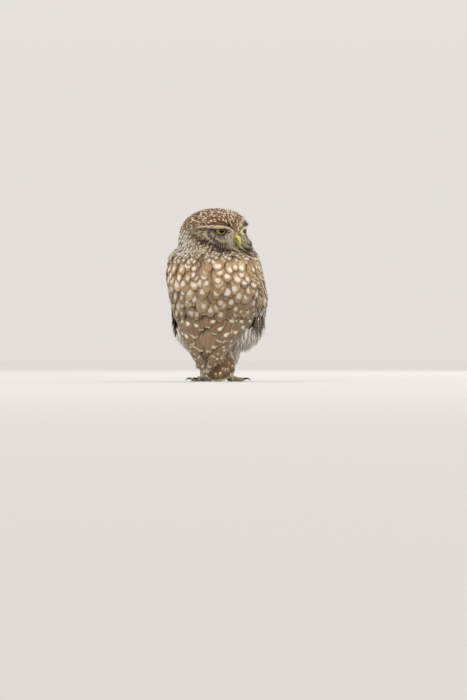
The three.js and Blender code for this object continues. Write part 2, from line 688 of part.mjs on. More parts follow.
for (const [label, side] of [["right", 1], ["left", -1]]) {
  owl.add(meshOf(`wing_${label}`, makeWing(side), flight));
  owl.add(meshOf(`eye_${label}`, solidOf(eyeBall(side, EYE.radius, 2.6)), iris));
  owl.add(meshOf(`thigh_${label}`, carve(solidOf(thighGeometry(side, 0)), [torsoCutter]), down));
  owl.add(meshOf(`shank_${label}`, carve(solidOf(shankGeometry(side, 0)), [thighCutters[side > 0 ? 0 : 1]]), down));
  owl.add(meshOf(`foot_${label}`, makeFoot(side), scale));
  for (const toe of TOES) owl.add(meshOf(`claw_${label}_${toe.name}`, makeClaw(side, toe), clawHorn));
}

export default owl;
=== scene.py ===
"""The looks of a little owl at life size: plumage, face, bill, legs, stage, light and camera.

Lengths are in millimetres until a mesh is written, +Z is up, and the breast faces -Y. Angles round the body are
in degrees: 0 is straight back, 90 is the bird's right side and 180 is its breast. A place on the coat is an
angle and a height, z. p is points, with x, y and z along the last axis. rng is a seeded source of draws.
"""

from __future__ import annotations

import logging
from dataclasses import dataclass, field, replace
from enum import Enum
from functools import partialmethod
from typing import Callable

import bmesh
import bpy
import numpy as np
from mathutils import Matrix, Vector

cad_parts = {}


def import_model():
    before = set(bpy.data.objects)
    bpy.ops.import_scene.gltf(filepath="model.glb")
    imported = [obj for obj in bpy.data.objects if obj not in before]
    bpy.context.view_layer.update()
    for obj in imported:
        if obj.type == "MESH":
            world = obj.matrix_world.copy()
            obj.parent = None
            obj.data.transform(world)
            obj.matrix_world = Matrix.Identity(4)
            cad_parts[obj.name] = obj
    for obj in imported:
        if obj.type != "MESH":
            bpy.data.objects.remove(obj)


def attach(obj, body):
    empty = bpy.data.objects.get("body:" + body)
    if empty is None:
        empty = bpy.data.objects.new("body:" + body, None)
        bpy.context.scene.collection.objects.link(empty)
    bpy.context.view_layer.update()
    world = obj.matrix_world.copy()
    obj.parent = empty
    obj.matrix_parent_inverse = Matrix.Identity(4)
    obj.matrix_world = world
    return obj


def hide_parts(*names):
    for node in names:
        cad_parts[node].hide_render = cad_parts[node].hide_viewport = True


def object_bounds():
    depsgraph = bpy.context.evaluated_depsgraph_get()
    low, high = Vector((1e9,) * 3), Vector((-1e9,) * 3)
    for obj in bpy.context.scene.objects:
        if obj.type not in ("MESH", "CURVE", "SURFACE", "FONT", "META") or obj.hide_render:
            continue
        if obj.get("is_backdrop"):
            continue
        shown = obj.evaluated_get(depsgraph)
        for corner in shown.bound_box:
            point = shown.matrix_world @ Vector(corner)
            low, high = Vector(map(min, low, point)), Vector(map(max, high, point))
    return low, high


log = logging.getLogger("little_owl")
Array = np.ndarray
Draws = np.random.Generator
Material = bpy.types.Material
Piece = bpy.types.Object
MM = 0.001
BODY = "root"
SEED = 20251
HALVINGS = 14
TOE_GAP = 0.02
FEATHER_GAP = 0.1


def ease(x: Array | float, low: float, high: float) -> Array:
    """A smooth step: 0 below low, 1 above high, 3t^2 - 2t^3 between."""
    t = np.clip((np.asarray(x, float) - low) / (high - low), 0.0, 1.0)
    return t * t * (3.0 - 2.0 * t)


def lerp(a: Array | float, b: Array | float, t: Array | float) -> Array:
    """The value a share t of the way from a to b."""
    return a + (b - a) * np.asarray(t, float)


def bump(x: Array | float, width: float) -> Array:
    """A bell of height 1 and the given half width."""
    return np.exp(-((np.asarray(x, float) / width) ** 2))


def bulge(x: Array, half: Array, shape: Array) -> Array:
    """A superellipse's height, 1 in the middle and 0 at a distance half."""
    return np.maximum(0.0, 1.0 - np.abs(x / half) ** shape) ** (1.0 / shape)


def unit(v: Array) -> Array:
    """The vectors scaled to length 1."""
    return v / np.maximum(np.linalg.norm(v, axis=-1, keepdims=True), 1e-9)


def dot(a: Array, b: Array) -> Array:
    """Dot products along the last axis, kept as a column."""
    return np.sum(a * b, axis=-1, keepdims=True)


def paint(red: float, green: float, blue: float) -> Array:
    """A linear colour from screen values of 0 to 255."""
    c = np.array([red, green, blue], float) / 255.0
    return np.where(c <= 0.04045, c / 12.92, ((c + 0.055) / 1.055) ** 2.4)


def tint(red: float, green: float, blue: float) -> Array:
    """A dataclass field that starts as a linear colour from screen values."""
    return field(default_factory=lambda: paint(red, green, blue))


def off_floor(p: Array, gap: float) -> None:
    """Lifts points that are lower than a gap over the floor."""
    p[..., 2] = np.maximum(p[..., 2], gap)


@dataclass(frozen=True)
class Form:
    """The outer surface of the coat: a radius round an upright axis, by angle and height."""

    height: float = 200.7
    body_mid: float = 108.0
    body_half: float = 57.0
    body_front: float = 49.0
    body_back: float = 45.5
    body_square: float = 2.15
    body_rise: float = 54.0
    body_drop: float = 67.0
    rise_shape: float = 3.6
    drop_shape: float = 3.3
    low_x: float = -1.0
    belly_x: float = 3.5
    shoulder_x: float = 5.5
    head_x: float = 3.7
    lean_from: float = 96.0
    lean_to: float = 136.0
    mid_y: float = -2.0
    low_y: float = -9.0
    high_y: float = -4.0
    head_turn: float = 70.0
    head_mid: float = 172.0
    head_half: float = 40.5
    head_front: float = 36.0
    head_back: float = 35.5
    head_jowl: float = 2.5
    head_drop: float = 48.0
    crown_shape: float = 2.15
    crown_lean: float = 2.5
    jaw_shape: float = 2.6
    head_square: float = 2.4
    join: float = 5.0
    chin: float = 12.5
    chin_height: float = 154.8
    brow_top: float = 179.5
    brow_dip: float = 13.0
    rim_low: float = 153.6
    rim_high: float = 176.0
    lowest: float = 41.2
    highest: float = 200.6
    core_low: float = 78.0
    core_high: float = 168.0

    @property
    def bottom(self) -> float:
        """The height of the belly's lowest point."""
        return self.body_mid - self.body_drop

    @property
    def look(self) -> Array:
        """The way the head faces."""
        turn = np.radians(self.head_turn)
        return np.array([-np.sin(turn), np.cos(turn), 0.0])

    @property
    def head_right(self) -> Array:
        """The head's own right."""
        return np.array([self.look[1], -self.look[0], 0.0])

    def axis(self, z: Array) -> Array:
        """The body's middle line at a height, which leans as the bird looks round.

        Args:
            z: heights.

        Returns:
            Points on the line.
        """
        high = ease(z, self.lean_from, self.lean_to)
        low = 1.0 - ease(z, self.bottom, self.lean_from)
        x = lerp(self.low_x, self.shoulder_x, high)
        x = lerp(x, self.head_x, ease(z, self.lean_to, self.head_mid)) + self.belly_x * low
        y = self.mid_y + (self.low_y - self.mid_y) * low + (self.high_y - self.mid_y) * high
        lean = self.crown_lean * ease(z, 178, 203)
        return np.stack([x + lean * self.look[0], y + lean * self.look[1], np.asarray(z, float)], axis=-1)

    def off_look(self, angle: Array) -> Array:
        """Degrees off the way the bird looks, towards its head's right."""
        return (self.head_turn - angle + 540.0) % 360.0 - 180.0

    @staticmethod
    def section(across: Array, fore: Array, half: Array, depth: Array, shape: float) -> Array:
        """The radius of a superellipse along a direction given by its two parts."""
        return (np.abs(across / half) ** shape + np.abs(fore / depth) ** shape) ** (-1.0 / shape)

    def body_radius(self, angle: Array, z: Array) -> Array:
        """The body's own radius.

        Args:
            angle, z: places.

        Returns:
            Radii.
        """
        above = z > self.body_mid
        size = bulge(z - self.body_mid, np.where(above, self.body_rise, self.body_drop),
                     np.where(above, self.rise_shape, self.drop_shape))
        fore = np.cos(np.radians(angle))
        depth = np.where(fore > 0, self.body_back, self.body_front)
        return size * self.section(np.sin(np.radians(angle)), fore, self.body_half, depth, self.body_square)

    def brow(self, side: Array) -> Array:
        """The brow's height by the angle off the look: low over the bill, then nearly level."""
        return self.brow_top - self.brow_dip * np.exp(-((side / 16.0) ** 1.2)) - 3.2 * ease(side, 70, 95)

    def rim(self, side: Array) -> Array:
        """The height of the facial disc's lower edge."""
        return lerp(self.rim_low, self.rim_high, np.clip(side / 96.0, 0, 1) ** 1.9)

    def relief(self, off: Array, z: Array) -> Array:
        """The face: a dish round each eye under an overhanging brow, and a low rim below.

        Args:
            off: degrees off the look.
            z: heights.

        Returns:
            What the face adds to the radius.
        """
        side = np.abs(off)
        front = 1.0 - ease(side, 84, 106)
        dish = -6.2 * bump(side - 37, 25) * bump(z - 173, 10.5)
        brow = 2.6 * bump(z - self.brow(side) - 3.4, 3.4) * front * ease(side, 2, 16)
        rim = 1.3 * bump(z - self.rim(side) + 1, 3) * front
        under = ease(z - self.rim(side), 0, 6)
        cheek = -1.8 * front * under * (1 - ease(z, 176, 183))
        return dish + brow + rim + cheek

    def head_radius(self, angle: Array, z: Array) -> Array:
        """The head's own radius.

        Args:
            angle, z: places.

        Returns:
            Radii.
        """
        off = self.off_look(angle)
        above = z > self.head_mid
        size = bulge(z - self.head_mid, np.where(above, self.height - self.head_mid, self.head_drop),
                     np.where(above, self.crown_shape, self.jaw_shape))
        fore = np.cos(np.radians(off))
        jowl = self.head_jowl * (1 - ease(z, self.head_mid - 10, self.head_mid + 10))
        depth = np.where(fore > 0, self.head_front, self.head_back) + jowl
        plain = self.section(np.sin(np.radians(off)), fore, self.head_half + jowl, depth, self.head_square)
        return size * plain + self.relief(off, z) * np.minimum(1.0, size * 1.4)

    def radius(self, angle: Array, z: Array) -> Array:
        """The coat's radius: head and body run into each other with a soft join, hollow under the bill.

        Args:
            angle, z: places.

        Returns:
            Radii.
        """
        body = self.body_radius(angle, z)
        head = np.where(z > self.body_mid, self.head_radius(angle, z), 0.0)
        share = np.clip(0.5 + (head - body) / (2 * self.join), 0, 1)
        chin = self.chin * bump(self.off_look(angle), 23) * bump(z - self.chin_height, 10.5)
        return np.maximum(0.05, lerp(body, head, share) + self.join * share * (1 - share) - chin)

    def point(self, angle: Array, z: Array, inset: Array | float = 0.0) -> Array:
        """A point on the surface, or under it by an inset along the radius.

        Args:
            angle, z: places.
            inset: how far under the surface.

        Returns:
            Points.
        """
        radius = np.maximum(0.05, self.radius(angle, z) - inset)
        turn = np.radians(angle)
        flat = np.stack([-np.sin(turn) * radius, np.cos(turn) * radius, np.zeros_like(radius)], axis=-1)
        return self.axis(z) + flat

    def polar(self, p: Array) -> tuple[Array, Array, Array]:
        """The angle, the distance from the axis, and the height of points.

        Args:
            p: points.

        Returns:
            Degrees, millimetres and heights.
        """
        axis = self.axis(p[..., 2])
        dx, dy = p[..., 0] - axis[..., 0], p[..., 1] - axis[..., 1]
        return np.degrees(np.arctan2(-dx, dy)) % 360.0, np.hypot(dx, dy), p[..., 2]

    def level(self, p: Array) -> Array:
        """How far out points lie, as a share of the coat's radius at their angle and height.

        Args:
            p: points.

        Returns:
            Shares: 1 on the surface, and 9 over or under the body.
        """
        angle, away, z = self.polar(p)
        inside = bulge(z - 121.0, 79.6, 9.0)
        return np.where(inside > 0, away / self.radius(angle, np.clip(z, self.lowest, self.highest)), 9.0)

    def project(self, p: Array) -> Array:
        """The points moved along rays from the body's core onto the surface, found by halving.

        Args:
            p: points inside or outside.

        Returns:
            Points on the surface.
        """
        core = self.axis(np.clip(p[..., 2], self.core_low, self.core_high))
        way = p - core
        low, high = np.zeros(p.shape[:-1]), np.full(p.shape[:-1], 2.5)
        for _ in range(HALVINGS):
            mid = (low + high) / 2
            out = self.level(core + way * mid[..., None]) > 1.0
            low, high = np.where(out, low, mid), np.where(out, mid, high)
        return core + way * ((low + high) / 2)[..., None]

    def normal(self, p: Array) -> Array:
        """Outward normals at points on the surface, from the slope of level.

        Args:
            p: points.

        Returns:
            Unit vectors.
        """
        step = 0.25 * np.eye(3)
        slope = [self.level(p + d) - self.level(p - d) for d in step]
        return unit(np.clip(np.stack(slope, axis=-1), -2.0, 2.0))

    def in_head(self, right: Array, forward: Array, z: Array) -> Array:
        """A place in the head's own frame: to its right, forward and up."""
        base = self.axis(z)
        return base + np.multiply.outer(right, self.head_right) + np.multiply.outer(forward, self.look)


FORM = Form()


def off_back(angle: Array) -> Array:
    """Degrees off straight back, on either side."""
    return np.abs((angle + 180.0) % 360.0 - 180.0)


def face_side(angle: Array) -> Array:
    """Degrees off the way the head looks, on either side."""
    return np.abs(FORM.off_look(angle))


def leading_edge(z: Array) -> Array:
    """Degrees off straight back of the folded wing's leading edge."""
    return lerp(90, 113, ease(z, 84, 126))


def dorsal_edge(z: Array) -> Array:
    """Degrees off straight back of the folded wing's inner edge: the wings part towards the nape."""
    return lerp(1, 36, ease(z, 92, 142))


class Side(Enum):
    """The bird's own sides."""

    RIGHT = 1
    LEFT = -1


@dataclass(frozen=True)
class Sided:
    """One of a pair. side is 1 for the bird's right and -1 for its left."""

    side: int

    @property
    def label(self) -> str:
        """right or left."""
        return "right" if self.side > 0 else "left"


@dataclass(frozen=True)
class EyePlace(Sided):
    """Where an eye sits in the head."""

    radius: float = 9.6
    across: float = 14.3
    forward: float = 17.0
    height: float = 176.4
    outward: float = 26.0
    downward: float = 0.06

    @property
    def centre(self) -> Array:
        """The ball's centre."""
        return FORM.in_head(self.side * self.across, self.forward, self.height)

    @property
    def frame(self) -> Array:
        """Rows across, up and along the gaze.

        Returns:
            Three unit vectors.
        """
        turn = np.radians(self.outward)
        level = FORM.look * np.cos(turn) + FORM.head_right * self.side * np.sin(turn)
        gaze = unit(level + np.array([0, 0, -self.downward]))
        across = unit(np.cross([0.0, 0.0, 1.0], gaze))
        return np.stack([across, np.cross(gaze, across), gaze])

    def local(self, p: Array) -> Array:
        """Points in the eye's own frame."""
        return (p - self.centre) @ self.frame.T

    def world(self, p: Array) -> Array:
        """Points of the eye's own frame, in the row's frame."""
        return p @ self.frame + self.centre


EYES = tuple(EyePlace(side.value) for side in Side)


@dataclass
class Mesh:
    """Points, triangles and what each point carries, gathered before they become one object."""

    points: Array
    faces: Array
    vane: Array
    bake: Array
    ground: Array
    mark: Array
    figure: Array

    ROWS = ("points", "vane", "bake", "ground", "mark", "figure")

    @classmethod
    def join(cls, parts: list[Mesh]) -> Mesh:
        """One mesh of several, with their faces renumbered.

        Args:
            parts: the meshes.

        Returns:
            The mesh.
        """
        starts = np.cumsum([0] + [len(part.points) for part in parts[:-1]])
        faces = np.concatenate([part.faces + start for part, start in zip(parts, starts)])
        rows = {name: np.concatenate([getattr(part, name) for part in parts]) for name in cls.ROWS}
        return cls(faces=faces, **rows)

    def only(self, faces: Array) -> Mesh:
        """The points that some of the faces use, with those faces renumbered."""
        used, renumbered = np.unique(faces, return_inverse=True)
        return Mesh(faces=renumbered.reshape(-1, 3), **{name: getattr(self, name)[used] for name in self.ROWS})


def figures(rng: Draws, count: int, *sizes: Array | float) -> Array:
    """Rows of a figure: sizes that are one number or one for each feather, and then a random share."""
    return np.column_stack([*(np.broadcast_to(size, count) for size in sizes), rng.random(count)])


@dataclass
class Markings:
    """What a set of feathers is coloured with: one row for each feather.

    ground and mark are linear colours. figure holds the size of its spots, the width of its shaft streak, the
    width of its pale fringe and a random share.
    """

    ground: Array
    mark: Array
    figure: Array

    @classmethod
    def plain(cls, count: int, ground: Array, mark: Array, figure: tuple[float, float, float],
              rng: Draws) -> Markings:
        """The same markings on every feather, apart from their random share and a little of their tone."""
        tone = 1.0 + 0.1 * rng.uniform(-1, 1, (count, 1))
        return cls(ground * tone, mark * np.ones((count, 1)), figures(rng, count, *figure))


@dataclass(frozen=True)
class VaneShape:
    """The outline and section of a kind of feather. widths are read evenly from root to tip.

    A soft feather's map counts half widths back from its tip, up to four, so that its spots keep their shape; a
    stiff one's runs from 0 to 1.
    """

    widths: tuple[float, ...] = (0.35, 0.75, 0.98, 1.0, 0.86, 0.5, 0.12)
    columns: int = 3
    thick: float = 0.3
    camber: float = 0.16
    outer_web: float = 1.0
    barbs: int = 0
    barb_length: float = 2.4
    stiff: bool = False

    @property
    def rows(self) -> int:
        """How many stations a feather has along its shaft."""
        return len(self.widths)


@dataclass
class Vanes:
    """A set of feathers along their centre lines.

    Args to make one: line and normal are (feathers, rows, 3), half is one half width for each feather, and
    bake_root is each root's place on the skin's unwrap.
    """

    line: Array
    normal: Array
    half: Array
    shape: VaneShape
    markings: Markings
    bake_root: Array
    rng: Draws
    tilt: Array | float = 0.0

    def axes(self) -> tuple[Array, Array, Array]:
        """Unit vectors along, across and out of each feather at each station.

        Returns:
            Three sets of (feathers, rows, 3).
        """
        along = unit(np.gradient(self.line, axis=1))
        across = unit(np.cross(along, self.normal))
        return along, across, np.cross(across, along)

    def half_widths(self) -> Array:
        """Half widths at each station."""
        return self.half[:, None] * np.array(self.shape.widths)[None]

    @staticmethod
    def template(rows: int, columns: int) -> Array:
        """Triangles of one closed vane: an upper and a lower sheet that share their side edges.

        Args:
            rows, columns: points along and across.

        Returns:
            (triangles, 3).
        """
        upper = np.arange(rows * columns).reshape(rows, columns)
        lower = upper.copy()
        lower[:, 1:-1] = rows * columns + np.arange(rows * (columns - 2)).reshape(rows, columns - 2)

        def sheet(grid: Array, flip: bool) -> Array:
            """Two triangles for each cell of a grid of point numbers, turned over by flip."""
            a, b, c, d = grid[:-1, :-1], grid[:-1, 1:], grid[1:, 1:], grid[1:, :-1]
            quads = np.stack([a, b, c, a, c, d], axis=-1).reshape(-1, 3)
            return quads[:, ::-1] if flip else quads

        ends = []
        for row, flip in ((0, True), (rows - 1, False)):
            a, b = upper[row, :-1], upper[row, 1:]
            c, d = lower[row, 1:], lower[row, :-1]
            quads = np.stack([a, b, c, a, c, d], axis=-1).reshape(-1, 3)
            keep = [len(set(t)) == 3 for t in quads.tolist()]
            ends.append(quads[keep][:, ::-1] if flip else quads[keep])
        return np.concatenate([sheet(upper, False), sheet(lower, True), *ends])

    def sheets(self) -> Mesh:
        """The vanes: cambered sheets, thickest at the shaft and shut at their edges.

        Returns:
            The mesh.
        """
        shape = self.shape
        _, across, out = self.axes()
        count, rows = self.line.shape[:2]
        u = np.linspace(-1, 1, shape.columns)
        web = np.where(u > 0, shape.outer_web, 2.0 - shape.outer_web)
        half = self.half_widths()[..., None]
        tilt = np.broadcast_to(np.asarray(self.tilt, float), (count,))[:, None, None]
        offset = half * u * web
        height = -shape.camber * half * u**2 + tilt * offset
        middle = self.line[:, :, None] + across[:, :, None] * offset[..., None]
        middle = middle + out[:, :, None] * height[..., None]
        thick = 0.5 * shape.thick * (1 - u**2)
        upper = middle + out[:, :, None] * thick[:, None]
        lower = (middle - out[:, :, None] * thick[:, None])[:, :, 1:-1]
        points = np.concatenate([upper.reshape(count, -1, 3), lower.reshape(count, -1, 3)], axis=1)
        t = np.linspace(0, 1, rows)
        uv = np.stack(np.broadcast_arrays(u[None], t[:, None]), axis=-1)
        uv = np.concatenate([uv.reshape(-1, 2), uv[:, 1:-1].reshape(-1, 2)])
        faces = self.template(rows, shape.columns)
        return self.gather(points, faces, np.broadcast_to(uv, (count, *uv.shape)))

    def gather(self, points: Array, faces: Array, uv: Array) -> Mesh:
        """One mesh from like pieces, each with its feather's markings.

        Args:
            points: (feathers, points, 3).
            faces: the triangles of one piece.
            uv: (feathers, points, 2), across from -1 to 1 and along from 0 to 1.

        Returns:
            The mesh.
        """
        count, size = points.shape[:2]
        starts = np.arange(count)[:, None, None] * size
        bake = self.bake_root[:, None] + 0.003 * np.stack([uv[..., 0] * 0.5, uv[..., 1]], axis=-1)
        if not self.shape.stiff:
            length = np.linalg.norm(np.diff(self.line, axis=1), axis=-1).sum(axis=1)
            slim = np.minimum(length / self.half, 4.0)[:, None]
            uv = np.stack([uv[..., 0], (1 - uv[..., 1]) * slim], axis=-1)
        spread = lambda rows: np.repeat(rows, size, axis=0)
        return Mesh(
            points=points.reshape(-1, 3), faces=(faces[None] + starts).reshape(-1, 3), vane=uv.reshape(-1, 2),
            bake=bake.reshape(-1, 2), ground=spread(self.markings.ground), mark=spread(self.markings.mark),
            figure=spread(self.markings.figure),
        )

    def barb_tips(self) -> list[Mesh]:
        """Loose barbs that break up a feather's edge, each a slim four-faced spike.

        Returns:
            A mesh for each barb of the shape.
        """
        along, across, out = self.axes()
        count, rows = self.line.shape[:2]
        half = self.half_widths()
        tips = []
        for k in range(self.shape.barbs):
            side = -1.0 if k % 2 else 1.0
            row = rows - 1 - (k // 2) % (rows - 2)
            back = self.rng.random((count, 1))
            web = self.shape.outer_web if side > 0 else 2.0 - self.shape.outer_web
            edge = (side * web * half[:, row] * 0.8)[:, None]
            base = lerp(self.line[:, row], self.line[:, row - 1], back) + across[:, row] * edge
            base = base - out[:, row] * (self.shape.camber * 0.64 * half[:, row] + 0.1)[:, None]
            splay = self.rng.uniform(0.15, 0.6, (count, 1)) * side
            rise = self.rng.uniform(-0.16, 0.12, (count, 1))
            way = unit(along[:, row] + across[:, row] * splay + out[:, row] * rise)
            length = self.shape.barb_length * self.rng.uniform(0.6, 1.2, (count, 1))
            wide = 0.22 * unit(np.cross(way, out[:, row]))
            thick = 0.14 * out[:, row]
            corners = [base - wide - thick, base + wide - thick, base + thick, base + way * length]
            points = np.stack(corners, axis=1)
            uv = np.array([side * 0.85, (row - 0.5) / (rows - 1)])
            uv = np.broadcast_to(uv, (count, 4, 2))
            faces = np.array([[0, 2, 1], [0, 1, 3], [1, 2, 3], [2, 0, 3]])
            tips.append(self.gather(points, faces, uv))
        return tips

    def mesh(self) -> Mesh:
        """The vanes with their loose barbs."""
        return Mesh.join([self.sheets(), *self.barb_tips()])


def body_unwrap(p: Array) -> Array:
    """The skin's own unwrap: the angle round the body against the height."""
    angle, _, z = FORM.polar(p)
    return np.stack([0.02 + 0.95 * angle / 360.0, 0.02 + 0.95 * (z - 40.0) / 162.0], axis=-1)


def coat_lines(roots: Array, ways: Array, lengths: Array, rows: int, depth: Array, lift: Array,
               bend: Array | float = 0.0) -> tuple[Array, Array]:
    """Centre lines that lie on the coat: each steps along its way and is set back on the surface.

    Args:
        roots: (feathers, 3) points on the surface.
        ways: the direction that each sets out in.
        lengths: of each, in millimetres.
        rows: stations along each.
        depth: how far under the surface each root lies.
        lift: how far over the surface each tip stands.
        bend: how much each turns down by its tip.

    Returns:
        The lines and the normals along them, (feathers, rows, 3).
    """
    place, normal = roots, FORM.normal(roots)
    way = unit(ways - normal * dot(ways, normal))
    step = (lengths / (rows - 1))[:, None]
    places, normals = [place], [normal]
    for _ in range(rows - 1):
        place = FORM.project(place + way * step)
        normal = FORM.normal(place)
        way = way + np.array([0, 0, -1.0]) * np.reshape(bend, (-1, 1)) / rows
        way = unit(way - normal * dot(way, normal))
        places.append(place)
        normals.append(normal)
    line, normal = np.stack(places, axis=1), np.stack(normals, axis=1)
    t = np.linspace(0, 1, rows)[None, :, None]
    risen = t**0.7
    over = -depth[:, None, None] * (1 - risen) + lift[:, None, None] * t**2
    return line + normal * over, normal


def hanging_lines(roots: Array, ways: Array, lengths: Array, rows: int, droop: Array | float,
                  sunk: Array | float = 0.0) -> tuple[Array, Array]:
    """Centre lines that leave the surface: each sets out along its way and turns down as it goes.

    Args:
        roots, ways, lengths, rows: as for coat_lines.
        droop: how much each turns down by its tip.
        sunk: how far under the surface each root lies.

    Returns:
        The lines and the normals along them.
    """
    normal = FORM.normal(roots)
    way, step = unit(ways), (lengths / (rows - 1))[:, None]
    place = roots - normal * np.reshape(sunk, (-1, 1))
    places = [place]
    for _ in range(rows - 1):
        place = place + way * step
        way = unit(way + np.array([0, 0, -1.0]) * np.reshape(droop, (-1, 1)) / rows)
        places.append(place)
    return np.stack(places, axis=1), np.repeat(normal[:, None], rows, axis=1)


def spread_points(count: int) -> Array:
    """Evenly spread points in the unit square: multiples of two fixed fractions, wrapped round."""
    step = np.arange(1, count + 1)[:, None] * np.array([[0.7548776662466927, 0.5698402909980532]])
    return step % 1.0


@dataclass(frozen=True)
class Palette:
    """The plumage's colours, linear; the dark grey is painted shade for the flank by the wing's edge."""

    crown: Array = tint(142, 99, 58)
    back: Array = tint(166, 134, 98)
    dark: Array = tint(72, 52, 36)
    # Painted shade: the dark grey of the flank where the folded wing shades it.
    flank_shade: Array = tint(60, 53, 49)
    disc: Array = tint(180, 144, 92)
    lores: Array = tint(218, 202, 150)
    cream: Array = tint(246, 232, 198)
    buff: Array = tint(232, 206, 160)
    spot: Array = tint(228, 221, 210)
    white: Array = tint(250, 246, 236)
    streak: Array = tint(122, 92, 62)
    quill: Array = tint(148, 118, 88)
    tail: Array = tint(126, 88, 46)
    lid: Array = tint(34, 29, 27)

    def varied(self, draw: Array) -> Array:
        """Browns of the back: darker for the lowest draws and washed with buff for the highest."""
        brown = mix(self.back, self.dark, 0.55 * (1 - ease(draw, 0, 0.4)))
        return mix(brown, self.buff, 0.45 * ease(draw, 0.6, 1.0))


PALETTE = Palette()


def mix(a: Array, b: Array, share: Array) -> Array:
    """Colours mixed by a share for each row. a and b are rows of colours, or one colour for all rows."""
    share = np.clip(np.asarray(share, float), 0, 1).reshape(-1, 1)
    return a * (1 - share) + b * share


